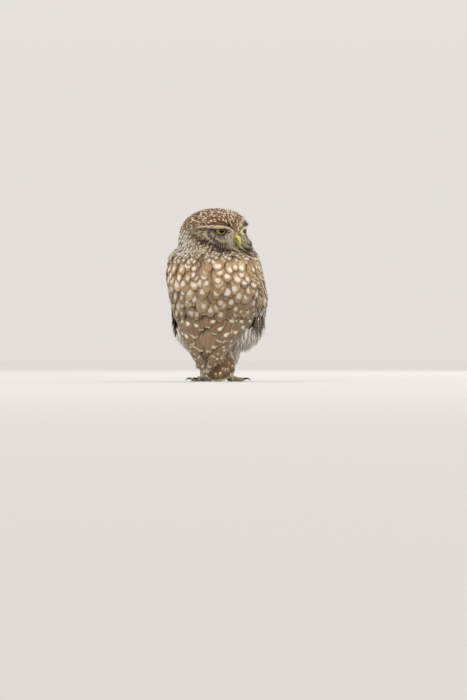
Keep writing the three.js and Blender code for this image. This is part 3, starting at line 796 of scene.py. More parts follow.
@dataclass
class Pattern:
    """Where the bird's markings lie: the same answer colours the skin and the coat."""

    palette: Palette = PALETTE

    def eye_distance(self, p: Array) -> tuple[Array, Array, Array]:
        """Distance off the nearer eye's gaze, and the place across and up from it.

        Args:
            p: points.

        Returns:
            Millimetres, 99 away from both eyes.
        """
        best, across, up = np.full(len(p), 99.0), np.zeros(len(p)), np.zeros(len(p))
        for eye in EYES:
            q = eye.local(p)
            away = np.where(q[:, 2] > -2, np.hypot(q[:, 0], q[:, 1]), 99.0)
            near = away < best
            best = np.where(near, away, best)
            across = np.where(near, -q[:, 0] * eye.side, across)
            up = np.where(near, q[:, 1], up)
        return best, across, up

    def body(self, p: Array, rng: Draws) -> Markings:
        """Markings of the body: spotted back, streaked breast and flanks, painted flank shade by the wing,
        white vent.

        Args:
            p: the feathers' roots or the skin's points.
            rng: the source of draws.

        Returns:
            A row of markings for each.
        """
        c, n = self.palette, len(p)
        angle, _, z = FORM.polar(p)
        aside = off_back(angle)
        high = ease(z, 84, 112)
        front = ease((aside - lerp(84, 97, high)) / lerp(12, 25, high), 0, 1)
        front = np.maximum(front, (1 - ease(z, 60, 74)) * ease(aside, 8, 26))
        draw = rng.random((2, n))
        ground = mix(c.varied(draw[0]), c.buff, 0.4 * ease(z, 116, 142))
        ground = mix(ground, c.white, front)
        mark = mix(c.spot, c.streak, front)
        spot = (1.0 + 0.35 * draw[0]) * (draw[1] > 0.12) * (1 - front)
        streak = front * (0.13 + 0.17 * ease(z, 84, 128)) * (0.08 + 0.92 * ease(z, 74, 96))
        streak = streak * (0.6 + 0.6 * draw[0])
        collar = front * ease(z, 124, 134) * (1 - ease(z, 141, 147))
        ground = mix(ground, c.back, 0.75 * collar)
        mark = mix(mark, c.cream, collar)
        spot, streak = np.maximum(spot, 0.8 * collar), streak * (1 - collar)
        throat = bump(FORM.off_look(angle) + 72, 32) * ease(z, 140, 147)
        ground = mix(ground, c.white, throat)
        spot, streak = spot * (1 - throat), streak * (1 - throat)
        # Painted shade: a dark grey patch on the flank beside the folded wing's leading edge, where the wing
        # shades it; the white marks in it are the flank's own streaks.
        edge = bump(aside - leading_edge(z) - 5, 15) * ease(z, 60, 68) * (1 - ease(z, 94, 108))
        dark = 1.3 * edge * (draw[1] < 0.8)
        ground = mix(ground, c.flank_shade, dark)
        mark = mix(mark, c.white, dark)
        spot, streak = spot * (1 - np.minimum(1, dark)), np.where(dark > 0.4, 0.2, streak)
        figure = figures(rng, n, spot, streak, 0.15 + 0.1 * front)
        return Markings(ground * (1 + 0.13 * rng.uniform(-1, 1, (n, 1))), mark, figure)

    def head(self, p: Array, rng: Draws) -> Markings:
        """Markings of the head: spotted crown, pale brow and V, streaked disc with a dark rim, white throat.

        Args:
            p: the feathers' roots or the skin's points.
            rng: the source of draws.

        Returns:
            A row of markings for each.
        """
        c, n = self.palette, len(p)
        angle, _, z = FORM.polar(p)
        off = FORM.off_look(angle)
        side = np.abs(off)
        draw = rng.random(n)
        brow, rim = FORM.brow(side), FORM.rim(side)
        away, across, up = self.eye_distance(p)
        nape = np.maximum(ease(side, 74, 96) * (1 - ease(z, 173, 187)), 0.65 * (1 - ease(z - rim, -7, -2)))
        ground = mix(mix(c.crown, c.back, nape), c.dark, 0.5 * draw**3 * (1 - nape))
        mark = mix(c.buff, c.white, 0.35 + 0.65 * ease(side, 84, 110) * (1 - ease(z, 170, 186)))
        spot = lerp(1.15, 1.5, nape) * (0.8 + 0.5 * rng.random(n)) * (rng.random(n) < 0.66 + 0.2 * nape)
        ground = mix(ground, c.white, 0.85 * nape * (draw > 0.25))
        eyespot = bump(side - 150, 17) * bump(z - 172, 7)
        ground = mix(ground, c.white, 0.8 * eyespot)
        face = (1 - ease(side, 80, 98)) * (1 - ease(z - brow, -2.0, -1.0)) * ease(z - rim, -3, 0)
        disc = mix(c.disc, c.cream, (draw < 0.5) * 0.9)
        disc = mix(disc, c.dark, (draw > 0.76) * 0.85)
        ground = mix(ground, disc, face)
        low = ease(-up, -1, 4) * face
        pale_rings = 1.2 * bump(away - 10.2, 1.5) + bump(away - 18.0, 1.8)
        dark_rings = 0.95 * bump(away - 14.2, 1.7) + 0.8 * bump(away - 7.8, 1.0)
        ground = mix(ground, c.cream, low * pale_rings * (draw < 0.92))
        ground = mix(ground, c.dark, low * dark_rings)
        lores = face * (1 - ease(side, 16, 30)) * (z > 158)
        ground = mix(ground, mix(c.lores, c.white, draw < 0.4), lores)
        corner = np.maximum(bump(across - 8, 3.6), bump(across + 8.5, 4))
        corner = bump(away - 8.6, 2.4) * corner * bump(up - 0.5, 3.6)
        ground = mix(ground, c.lid, np.minimum(1.0, 1.5 * corner))
        # Painted shade: a dark band of feathers under the pale brow, for the shade under the brow's overhang
        # together with the dark lid skin there.
        under = bump(z - brow + 2.5, 1.2) * ease(side, 10, 18) * (1 - ease(side, 66, 84))
        ground = mix(ground, c.dark, 0.9 * under)
        band = (1 - ease(np.abs(z - brow - 0.4), 0.5, 1.1)) * (1 - ease(side, 66, 88)) * ease(side, 2, 6)
        vee = (1 - ease(side, 8, 14)) * ease(z, 169, 172) * (1 - ease(z - brow, 4, 7))
        ground = mix(mix(ground, c.disc, 0.6 * vee), c.cream, 0.6 * vee * (draw < 0.6))
        ground = mix(ground, 1.35 * c.cream, band)
        pale = np.clip(np.maximum(band, vee), 0, 1)
        ring = bump(z - rim - 0.2, 2.5) * (1 - ease(side, 86, 104)) * ease(side, 8, 16)
        ground = mix(ground, mix(0.6 * c.dark, c.buff, draw < 0.15), np.minimum(1, 1.2 * ring))
        throat = (1 - ease(z - rim, -1.5, 1.5)) * bump(off + 68, 34) * (1 - ring)
        ground = mix(ground, c.white, throat)
        cheek = bump(side - 92, 14) * bump(z - 166, 12) * (draw < 0.5)
        ground = mix(ground, c.buff, 0.8 * cheek)
        spot = spot * (1 - np.clip(throat + ring + pale + face + cheek, 0, 1))
        figure = figures(rng, n, spot, 0.0, 0.03)
        return Markings(ground * (1 + 0.12 * rng.uniform(-1, 1, (n, 1))), mark, figure)

    def skin(self, p: Array) -> Array:
        """The skin's colours: the coat's ground and marks run together.

        Args:
            p: the skin's points.

        Returns:
            Linear colours.
        """
        rng = np.random.default_rng(SEED)
        head, body = self.head(p, rng), self.body(p, rng)
        share = ease(p[:, 2], 148, 152)[:, None]
        marked = lambda m: np.clip(m.figure[:, :1] * 0.3 + m.figure[:, 1:2], 0, 0.5)
        body, head = (m.ground + (m.mark - m.ground) * marked(m) for m in (body, head))
        return body * (1 - share) + head * share


PATTERN = Pattern()


# Shader nodes


class Value:
    """A shader socket that takes part in Python sums, each of which adds a Math node."""

    def __init__(self, finish: Finish, socket: bpy.types.NodeSocket) -> None:
        """Keeps the socket and the finish whose tree it is in."""
        self.finish, self.socket = finish, socket

    def maths(self, operation: str, *others: Value | float) -> Value:
        """A Math node on this value and others."""
        inputs = dict(enumerate((self, *others)))
        return self.finish.node("ShaderNodeMath", {"operation": operation}, inputs)

    __add__ = __radd__ = partialmethod(maths, "ADD")
    __mul__ = __rmul__ = partialmethod(maths, "MULTIPLY")
    __sub__ = partialmethod(maths, "SUBTRACT")
    __rsub__ = partialmethod(maths, "MULTIPLY_ADD", -1.0)
    __truediv__ = partialmethod(maths, "DIVIDE")
    __pow__ = partialmethod(maths, "POWER")
    size = partialmethod(maths, "ABSOLUTE")
    largest = partialmethod(maths, "MAXIMUM")
    wave = partialmethod(maths, "SINE")
    share_of_cell = partialmethod(maths, "FRACT")

    def fade(self, low: float, high: float) -> Value:
        """A smooth step that is 0 at low and 1 at high, which may be the lower of the two.

        Args:
            low, high: where the step starts and ends.

        Returns:
            The share.
        """
        return self.finish.node(
            "ShaderNodeMapRange", {"interpolation_type": "SMOOTHSTEP"},
            {"Value": self, "From Min": min(low, high), "From Max": max(low, high),
             "To Min": 0.0 if high > low else 1.0, "To Max": 1.0 if high > low else 0.0},
        )


@dataclass
class Finish:
    """A material under construction: one Principled shader and the nodes that feed it."""

    name: str
    roughness: float = 0.6
    coat: float = 0.0
    specular: float = 0.4
    sheen: float = 0.0

    def __post_init__(self) -> None:
        """Makes the material with the shader's constant sockets set."""
        self.material = bpy.data.materials.new(self.name)
        self.material.use_nodes = True
        self.tree = self.material.node_tree
        self.shader = self.tree.nodes["Principled BSDF"]
        for socket, value in (
            ("Roughness", self.roughness), ("Coat Weight", self.coat), ("Coat Roughness", 0.03),
            ("Specular IOR Level", self.specular), ("Sheen Weight", self.sheen),
        ):
            self.shader.inputs[socket].default_value = value

    def node(self, kind: str, settings: dict, inputs: dict, output: int | str = 0) -> Value:
        """Adds a node, with its settings made first and then its inputs, and gives one of its outputs.

        Args:
            kind: the node's type.
            settings: its properties.
            inputs: a value or a number by socket.
            output: the socket that is given back.

        Returns:
            That output.
        """
        made = self.tree.nodes.new(kind)
        for key, value in settings.items():
            setattr(made, key, value)
        for key, value in inputs.items():
            if isinstance(value, Value):
                self.tree.links.new(value.socket, made.inputs[key])
            else:
                made.inputs[key].default_value = value
        return Value(self, made.outputs[output])

    def uv(self, name: str) -> tuple[Value, Value]:
        """Both parts of a UV map.

        Args:
            name: the map's name.

        Returns:
            Across and along.
        """
        flat = self.node("ShaderNodeUVMap", {"uv_map": name}, {})
        parts = self.node("ShaderNodeSeparateXYZ", {}, {0: flat})
        return parts, Value(self, parts.socket.node.outputs[1])

    def attribute(self, name: str) -> Value:
        """A colour attribute."""
        return self.node("ShaderNodeAttribute", {"attribute_name": name}, {}, "Color")

    def figures(self, name: str) -> tuple[Value, Value, Value, Value]:
        """The four numbers of a colour attribute.

        Args:
            name: the attribute's name.

        Returns:
            Red, green, blue and alpha.
        """
        source = self.node("ShaderNodeAttribute", {"attribute_name": name}, {}, "Color")
        parts = self.node("ShaderNodeSeparateColor", {}, {0: source})
        rest = [Value(self, parts.socket.node.outputs[k]) for k in (1, 2)]
        return parts, rest[0], rest[1], Value(self, source.socket.node.outputs["Alpha"])

    def place(self) -> Value:
        """Object coordinates."""
        return self.node("ShaderNodeTexCoord", {}, {}, "Object")

    def noise(self, scale: float, detail: float = 2.0, at: Value | None = None) -> Value:
        """Soft noise from 0 to 1 at a scale in cells for each metre."""
        inputs = {"Vector": at or self.place(), "Scale": scale, "Detail": detail}
        return self.node("ShaderNodeTexNoise", {}, inputs)

    def vector(self, x: Value, y: Value, z: Value) -> Value:
        """A vector of three values."""
        return self.node("ShaderNodeCombineXYZ", {}, {0: x, 1: y, 2: z})

    def blend(self, share: Value | float, a: Value | Array, b: Value | Array) -> Value:
        """Colour a turned into colour b by a share.

        Args:
            share: how much of b.
            a, b: the colours.

        Returns:
            The colour.
        """
        a, b = (tone if isinstance(tone, Value) else (*map(float, tone), 1.0) for tone in (a, b))
        settings = {"data_type": "RGBA", "clamp_factor": True}
        return self.node("ShaderNodeMix", settings, {0: share, 6: a, 7: b}, 2)

    def shaded(self, colour: Value, light: Value) -> Value:
        """A colour times a lightness."""
        return self.node("ShaderNodeVectorMath", {"operation": "SCALE"}, {0: colour, "Scale": light})

    def feed(self, socket: str, value: Value) -> Finish:
        """Links a value to one of the shader's own sockets."""
        self.tree.links.new(value.socket, self.shader.inputs[socket])
        return self

    def relief(self, height: Value, distance: float, strength: float = 1.0) -> Finish:
        """Feeds the normal with a bump of that distance in metres."""
        bumped = self.node("ShaderNodeBump", {}, {"Height": height, "Distance": distance, "Strength": strength})
        return self.feed("Normal", bumped)


@dataclass(frozen=True)
class SoftFeather:
    """Body feathers: spots in pairs beside the shaft, a shaft streak, a pale fringe and fine barbs."""

    name: str = "soft_feather"
    barbs: float = 7.0

    def make(self) -> Material:
        """The material, which reads the Vane map and the ground, mark and figure attributes.

        Returns:
            The material.
        """
        f = Finish(self.name, roughness=0.72, specular=0.25, sheen=0.25)
        u, t = f.uv("Vane")
        spot, streak, fringe, chance = f.figures("figure")
        side = u.size()
        barb = ((t + 0.5 * side + 0.2 * chance) * (6.283 * self.barbs)).wave()
        strand = f.noise(1.0, 3.0, f.vector(u * 1.5, (t + 0.5 * side) * 13.0, chance * 40.0))
        hair, soil = f.noise(900.0, 3.0), f.noise(60.0, 2.0)
        across = side / (0.43 * spot + 0.02) * (0.9 + 0.12 * t)
        along = (t - 0.75 - 0.5 * chance + 0.6 * (chance - 0.2) * side) / (0.46 * spot + 0.02)
        spotted = (across * across + along * along + 1.7 * strand).fade(2.7, 1.1)
        spotted = spotted * spot.fade(0.02, 0.1) * (0.8 + 0.2 * chance)
        line = side.fade(0.07, 0.03) * t.fade(0.1, 0.3)
        streaked = (side - streak * (1.15 - 0.2 * t)).fade(0.05, -0.05)
        streaked = streaked * streak.fade(0.01, 0.04) * t.fade(0.05, 0.4)
        light = 0.62 + 0.14 * hair + 0.14 * soil + 0.42 * strand + 0.04 * barb
        edge = (t - 0.9 * side * side).fade(0.75, 0.15) * (1.0 - streak.fade(0.02, 0.1))
        ground = f.blend(edge * 0.12, f.attribute("ground"), PALETTE.dark)
        colour = f.blend(spotted.largest(streaked), ground, f.attribute("mark"))
        pale = side.fade(0.75, 1.0).largest(t.fade(0.3, 0.0)) * fringe * 3.0
        colour = f.blend(pale, colour, PALETTE.buff)
        colour = f.blend(line * 0.3 * (1.0 - spotted), colour, PALETTE.dark)
        # Darker towards the root: partly the greyer down at a feather's base, partly painted shade from the
        # feathers that lie over it.
        f.feed("Base Color", f.shaded(colour, light * (0.82 + 0.24 * t.fade(2.9, 1.9))))
        return f.relief(barb * 0.5 + hair, 0.00022, 0.7).material


@dataclass(frozen=True)
class FlightFeather:
    """Wing and tail vanes: rounded pale notches in rows, faint bars between them, a shaft and fine barbs."""

    name: str
    both_webs: bool = False
    barbs: float = 60.0
    edge: float = 0.85

    def make(self) -> Material:
        """The material. figure holds a tenth of the rows, the notches' size and the bars' strength.

        Returns:
            The material.
        """
        f = Finish(self.name, roughness=0.55, specular=0.35, sheen=0.12)
        u, t = f.uv("Vane")
        rows, size, bars, chance = f.figures("figure")
        side = u.size()
        web = side if self.both_webs else u
        cell = (t * (rows * 10.0) + chance * 0.6).share_of_cell() - 0.5
        centre = 0.52 if self.both_webs else 0.85
        across = (web - centre) / (0.6 * size + 0.05)
        along = (cell + 0.16 * web) / (0.2 * size + 0.02)
        notch = (across * across + along * along).fade(1.3, 0.6) * t.fade(0.12, 0.2) * size.fade(0.02, 0.1)
        bar = cell.size().fade(0.26, 0.12) * bars * (1.0 - notch) * side.fade(0.08, 0.2)
        tip = (t.fade(0.95, 0.98) * 0.9).largest(side.fade(0.85, 0.95) * self.edge)
        barb = ((t - 0.16 * side) * (6.283 * self.barbs)).wave()
        hair = f.noise(700.0, 3.0)
        soil = f.noise(70.0, 2.0)
        colour = f.blend(notch + bar + tip, f.attribute("ground"), f.attribute("mark"))
        shaft = side.fade(0.07, 0.035)
        colour = f.blend(shaft * 0.4, colour, PALETTE.dark)
        f.feed("Base Color", f.shaded(colour, 0.84 + 0.1 * hair + 0.14 * soil + 0.05 * barb))
        return f.relief(barb * 0.5 + hair * 0.5 + shaft, 0.00025, 0.7).material


@dataclass(frozen=True)
class SkinTone:
    """The skin under the coat, in the coat's own colours made darker by noise: painted shade between the
    feathers.
    """

    name: str = "skin_tone"

    def make(self) -> Material:
        """The material, which reads the ground attribute.

        Returns:
            The material.
        """
        f = Finish(self.name, roughness=0.85, specular=0.15)
        fine, broad = f.noise(1300.0, 3.0), f.noise(220.0, 2.0)
        # Painted shade: 0.6 to 1.1 of the coat's ground, so the skin seen between the feathers reads darker;
        # the noise also gives random tone.
        f.feed("Base Color", f.shaded(f.attribute("ground"), 0.6 + 0.25 * fine + 0.25 * broad))
        return f.relief(fine, 0.0005, 0.8).material


@dataclass(frozen=True)
class EyeGloss:
    """A wet eye: black pupil, yellow iris with fine rays and a dark rim, under a clear coat."""

    name: str = "eye_gloss"
    pupil: float = 3.3
    iris: float = 6.5

    def make(self) -> Material:
        """The material, which reads the Gaze map: millimetres across and up from the gaze, in tens.

        Returns:
            The material.
        """
        f = Finish(self.name, roughness=0.3, coat=0.15, specular=0.1)
        x, y = f.uv("Gaze")
        x, y = x * 10.0, y * 10.0
        away = (x * x + y * y) ** 0.5
        rays = f.noise(9.0, 4.0, f.vector(x / away.largest(0.4), y / away.largest(0.4), away * 0.04))
        span = (away - self.pupil) / (self.iris - self.pupil)
        yellow = f.blend(rays.fade(0.35, 0.7), paint(228, 216, 78), paint(204, 186, 48))
        yellow = f.blend(span.fade(0.55, 1.05), yellow, paint(150, 124, 30))
        yellow = f.blend(span.fade(0.22, 0.0) * 0.6, yellow, paint(150, 128, 24))
        colour = f.blend(away.fade(self.pupil + 0.22, self.pupil), yellow, paint(2, 2, 3))
        colour = f.blend(away.fade(self.iris - 0.3, self.iris + 0.2), colour, paint(18, 14, 12))
        return f.feed("Base Color", colour).material


@dataclass(frozen=True)
class LidSkin:
    """Bare dark skin of the lids, finely wrinkled round the eye."""

    name: str = "lid_skin"

    def make(self) -> Material:
        """The material, on Object coordinates.

        Returns:
            The material.
        """
        f = Finish(self.name, roughness=0.5, specular=0.35)
        grain = f.noise(1500.0, 3.0)
        f.feed("Base Color", f.blend(grain.fade(0.3, 0.8), paint(26, 22, 21), paint(62, 54, 48)))
        return f.relief(grain, 0.0002, 0.6).material


@dataclass(frozen=True)
class Horn:
    """Bill or claw horn: a base colour, a paler ridge, a darker end and lines of growth along it.

    Reads the Horn map: round from 0 to 1, where 0.25 is the ridge, and along from 0 to 1.
    """

    name: str
    base: Array
    ridge: Array
    end: Array
    roughness: float = 0.38

    def make(self) -> Material:
        """The material.

        Returns:
            The material.
        """
        f = Finish(self.name, roughness=self.roughness, coat=0.25, specular=0.45)
        around, along = f.uv("Horn")
        growth = f.noise(520.0, 4.0)
        ridge = (around - 0.25).size().fade(0.13, 0.02)
        colour = f.blend(ridge * 0.8, self.base, self.ridge)
        colour = f.blend(along.fade(0.62, 1.0) * 0.75, colour, self.end)
        f.feed("Base Color", f.shaded(colour, 0.82 + 0.36 * growth))
        f.feed("Roughness", self.roughness + 0.25 * (growth - 0.5))
        return f.relief(growth, 0.00025, 0.5).material


@dataclass(frozen=True)
class ToeSkin:
    """Grey-yellow skin of the toes with small scales."""

    name: str = "toe_skin"

    def make(self) -> Material:
        """The material, on Object coordinates.

        Returns:
            The material.
        """
        f = Finish(self.name, roughness=0.6, specular=0.35)
        places = {"Vector": f.place(), "Scale": 1100.0}
        cells = f.node("ShaderNodeTexVoronoi", {"feature": "DISTANCE_TO_EDGE"}, places)
        tone = f.noise(260.0, 2.0)
        colour = f.blend(tone.fade(0.3, 0.7), paint(186, 178, 150), paint(212, 203, 168))
        f.feed("Base Color", f.blend(cells.fade(0.12, 0.0), colour, paint(128, 118, 94)))
        return f.relief(cells.fade(0.0, 0.2), 0.0003, 0.9).material


@dataclass(frozen=True)
class Backdrop:
    """A plain pale floor."""

    name: str = "backdrop"
    tone: Array = tint(186, 186, 184)

    def make(self) -> Material:
        """The material."""
        f = Finish(self.name, roughness=0.9, specular=0.1)
        return f.feed("Base Color", f.blend(f.noise(9.0) * 0.2, self.tone, self.tone * 0.97)).material


# Meshes


def add_piece(name: str, points: Array, faces: Array, finish: Material,
              nodes: tuple[str, ...] = ()) -> Piece:
    """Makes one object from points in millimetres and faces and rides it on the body.

    Args:
        name: the piece's name.
        points: (points, 3).
        faces: (faces, 3 or 4).
        finish: its material.
        nodes: the solids that it stands for.

    Returns:
        The object.
    """
    mesh = bpy.data.meshes.new(name)
    sides = faces.shape[1]
    mesh.vertices.add(len(points))
    mesh.vertices.foreach_set("co", (points * MM).astype(np.float32).ravel())
    mesh.loops.add(faces.size)
    mesh.loops.foreach_set("vertex_index", faces.astype(np.int32).ravel())
    mesh.polygons.add(len(faces))
    mesh.polygons.foreach_set("loop_start", np.arange(0, faces.size, sides, dtype=np.int32))
    mesh.update(calc_edges=True)
    mesh.polygons.foreach_set("use_smooth", np.full(len(faces), True))
    mesh.materials.append(finish)
    piece = bpy.data.objects.new(name, mesh)
    bpy.context.scene.collection.objects.link(piece)
    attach(piece, BODY)
    if nodes:
        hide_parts(*nodes)
    log.info("%s: %d faces", name, len(faces))
    return piece


def add_map(piece: Piece, name: str, places: Array) -> None:
    """Gives a piece a UV map from one place for each point.

    Args:
        piece: the object.
        name: the map's name.
        places: (points, 2).
    """
    mesh = piece.data
    corner = np.empty(len(mesh.loops), np.int32)
    mesh.loops.foreach_get("vertex_index", corner)
    layer = mesh.uv_layers.new(name=name)
    layer.uv.foreach_set("vector", places[corner].astype(np.float32).ravel())


def add_colours(piece: Piece, name: str, values: Array) -> None:
    """Gives a piece a colour attribute: three or four numbers, or a row of them for each point.

    Args:
        piece: the object.
        name: the attribute's name.
        values: the numbers.
    """
    layer = piece.data.color_attributes.new(name, "FLOAT_COLOR", "POINT")
    full = np.ones((len(piece.data.vertices), 4))
    full[:, :values.shape[-1]] = values
    layer.data.foreach_set("color", full.astype(np.float32).ravel())


def add_feathers(name: str, mesh: Mesh, finish: Material, nodes: tuple[str, ...] = ()) -> Piece:
    """Makes one piece of feathers with its maps and markings.

    Args:
        name, finish, nodes: as for add_piece.
        mesh: the feathers.

    Returns:
        The object.
    """
    piece = add_piece(name, mesh.points, mesh.faces, finish, nodes)
    add_map(piece, "OFBake", mesh.bake)
    add_map(piece, "Vane", mesh.vane)
    add_colours(piece, "ground", mesh.ground)
    add_colours(piece, "mark", mesh.mark)
    add_colours(piece, "figure", mesh.figure)
    return piece


def add_form(node: str, ending: str, points: Array, faces: Array, finish: Material, slot: str,
             ground: Array | None = None, **maps: Array) -> Piece:
    """Makes a closed form that stands for one solid, with its poles shut.

    Args:
        node: the solid that it stands for.
        ending: what the piece's name adds to the solid's.
        points: (points, 3).
        faces: (faces, 3 or 4).
        finish: its material.
        slot: not used.
        ground: a colour for its ground attribute.
        maps: places for each point, by the UV map's name.

    Returns:
        The object.
    """
    piece = add_piece(f"{node}_{ending}", points, faces, finish, (node,))
    for name, places in maps.items():
        add_map(piece, name, places)
    if ground is not None:
        add_colours(piece, "ground", ground)
    merge_poles(piece)
    return piece


def merge_poles(piece: Piece) -> None:
    """Joins points that share a place, so that a surface's poles are closed.

    Args:
        piece: the object, which is changed.
    """
    shape = bmesh.new()
    shape.from_mesh(piece.data)
    bmesh.ops.remove_doubles(shape, verts=shape.verts, dist=1e-7)
    shape.to_mesh(piece.data)
    shape.free()


def grid_faces(rows: int, columns: int, wrapped: bool) -> Array:
    """Quads of a grid of rows by columns, closed round its rows where wrapped.

    Args:
        rows, columns: the grid's size.
        wrapped: whether its last column joins its first.

    Returns:
        (faces, 4).
    """
    grid = np.arange(rows * columns).reshape(rows, columns)
    if wrapped:
        grid = np.concatenate([grid, grid[:, :1]], axis=1)
    return np.stack([grid[:-1, :-1], grid[:-1, 1:], grid[1:, 1:], grid[1:, :-1]], axis=-1).reshape(-1, 4)


def tube(line: Array, widths: Array, depths: Array, sides: int, guide: Array) -> tuple[Array, Array, Array]:
    """A closed tube: rings of a superellipse round a line, shut at both ends by small rings.

    Args:
        line: (stations, 3).
        widths: half widths across the guide.
        depths: half widths along the guide.
        sides: points in each ring.
        guide: a direction that each ring's top faces.

    Returns:
        Points, quads, and each point's share round and along.
    """
    along = unit(np.gradient(line, axis=0))
    across = unit(np.cross(guide, along))
    over = np.cross(along, across)
    turn = np.linspace(0, 2 * np.pi, sides, endpoint=False)
    last = len(line) - 1
    rings, share = [], []
    for k, scale in ((0, 0.0), (0, 0.6), *((k, 1.0) for k in range(last + 1)), (last, 0.6), (last, 0.0)):
        wide, deep = np.cos(turn) * widths[k], np.sin(turn) * depths[k]
        rings.append(line[k] + (across[k, None] * wide[:, None] + over[k, None] * deep[:, None]) * scale)
        share.append(k / last)
    round_share = np.tile(turn / (2 * np.pi), len(rings))
    faces = grid_faces(len(rings), sides, True)
    return np.concatenate(rings), faces, np.column_stack([round_share, np.repeat(share, sides)])


# The bird's parts


@dataclass
class Skin:
    """One surface under the coat, from belly to crown, with the wings' beds pressed into it."""

    columns: int = 180
    rows: int = 150
    body_depth: float = 4.6
    face_depth: float = 2.0
    bed: float = 10.4
    low_bed: float = 15.5
    low: float = 41.3
    high: float = 200.55
    socket: float = 4.5
    socket_width: float = 8.5

    def wing_bed(self, side: int, angle: Array, z: Array) -> Array:
        """How deep the wing's bed is at a place.

        Args:
            side: 1 for the right wing and -1 for the left.
            angle, z: places.

        Returns:
            Depths.
        """
        turned = (angle * side) % 360.0
        turned = np.where(turned > 300, turned - 360, turned)
        inside = ease(turned - dorsal_edge(z), -9, 0) * (1 - ease(turned - leading_edge(z), 0, 10))
        depth = lerp(self.low_bed, self.bed, ease(z, 70, 104))
        return depth * inside * ease(z, 50, 70) * (1 - ease(z, 134, 142))

    def depth(self, angle: Array, z: Array) -> Array:
        """How far the skin lies under the coat's surface.

        Args:
            angle, z: places.

        Returns:
            Depths.
        """
        off = np.abs(FORM.off_look(angle))
        face = (1 - ease(off, 70, 105)) * ease(z, 150, 158) * (1 - ease(z, 186, 194))
        plain = lerp(self.body_depth, self.face_depth, face)
        shallow = 1 - 0.6 * (1 - ease(z, FORM.lowest, 52)) - 0.5 * ease(z, 192, 200)
        beds = np.maximum(self.wing_bed(1, angle, z), self.wing_bed(-1, angle, z))
        return plain * shallow + beds

    def build(self, finish: Material) -> Piece:
        """The skin, a grid of angle by height, gathered to a point at each pole.

        Args:
            finish: the material.

        Returns:
            The object.
        """
        lift = 0.5 - 0.5 * np.cos(np.pi * np.linspace(0, 1, self.rows))
        z = lerp(self.low, self.high, lift)
        angle = np.linspace(0, 360, self.columns, endpoint=False)
        a, h = np.meshgrid(angle, z)
        depth = self.depth(a, h)
        surface = FORM.point(a, h)
        for eye in EYES:
            q = eye.local(surface)
            away = np.hypot(q[..., 0], q[..., 1])
            depth = depth + np.where(q[..., 2] > 0, self.socket * bump(away, self.socket_width), 0.0)
        drop = self.body_depth * 0.7
        points = FORM.point(a, h, depth)
        points[..., 2] = h - drop * ease(h, 190, FORM.highest) + drop * (1 - ease(h, 41, 50))
        points[0] = points[0].mean(axis=0)
        points[-1] = points[-1].mean(axis=0)
        faces = grid_faces(self.rows, self.columns, True)
        piece = add_piece("skin", points.reshape(-1, 3), faces, finish, ("head", "neck", "torso"))
        merge_poles(piece)
        return piece


class Lie(Enum):
    """How a kind of feather lies."""

    DOWN = "down the body"
    FACE = "back from the bill and round the eyes"
    BROW = "outwards along the brow"
    BRISTLE = "forward round the bill"


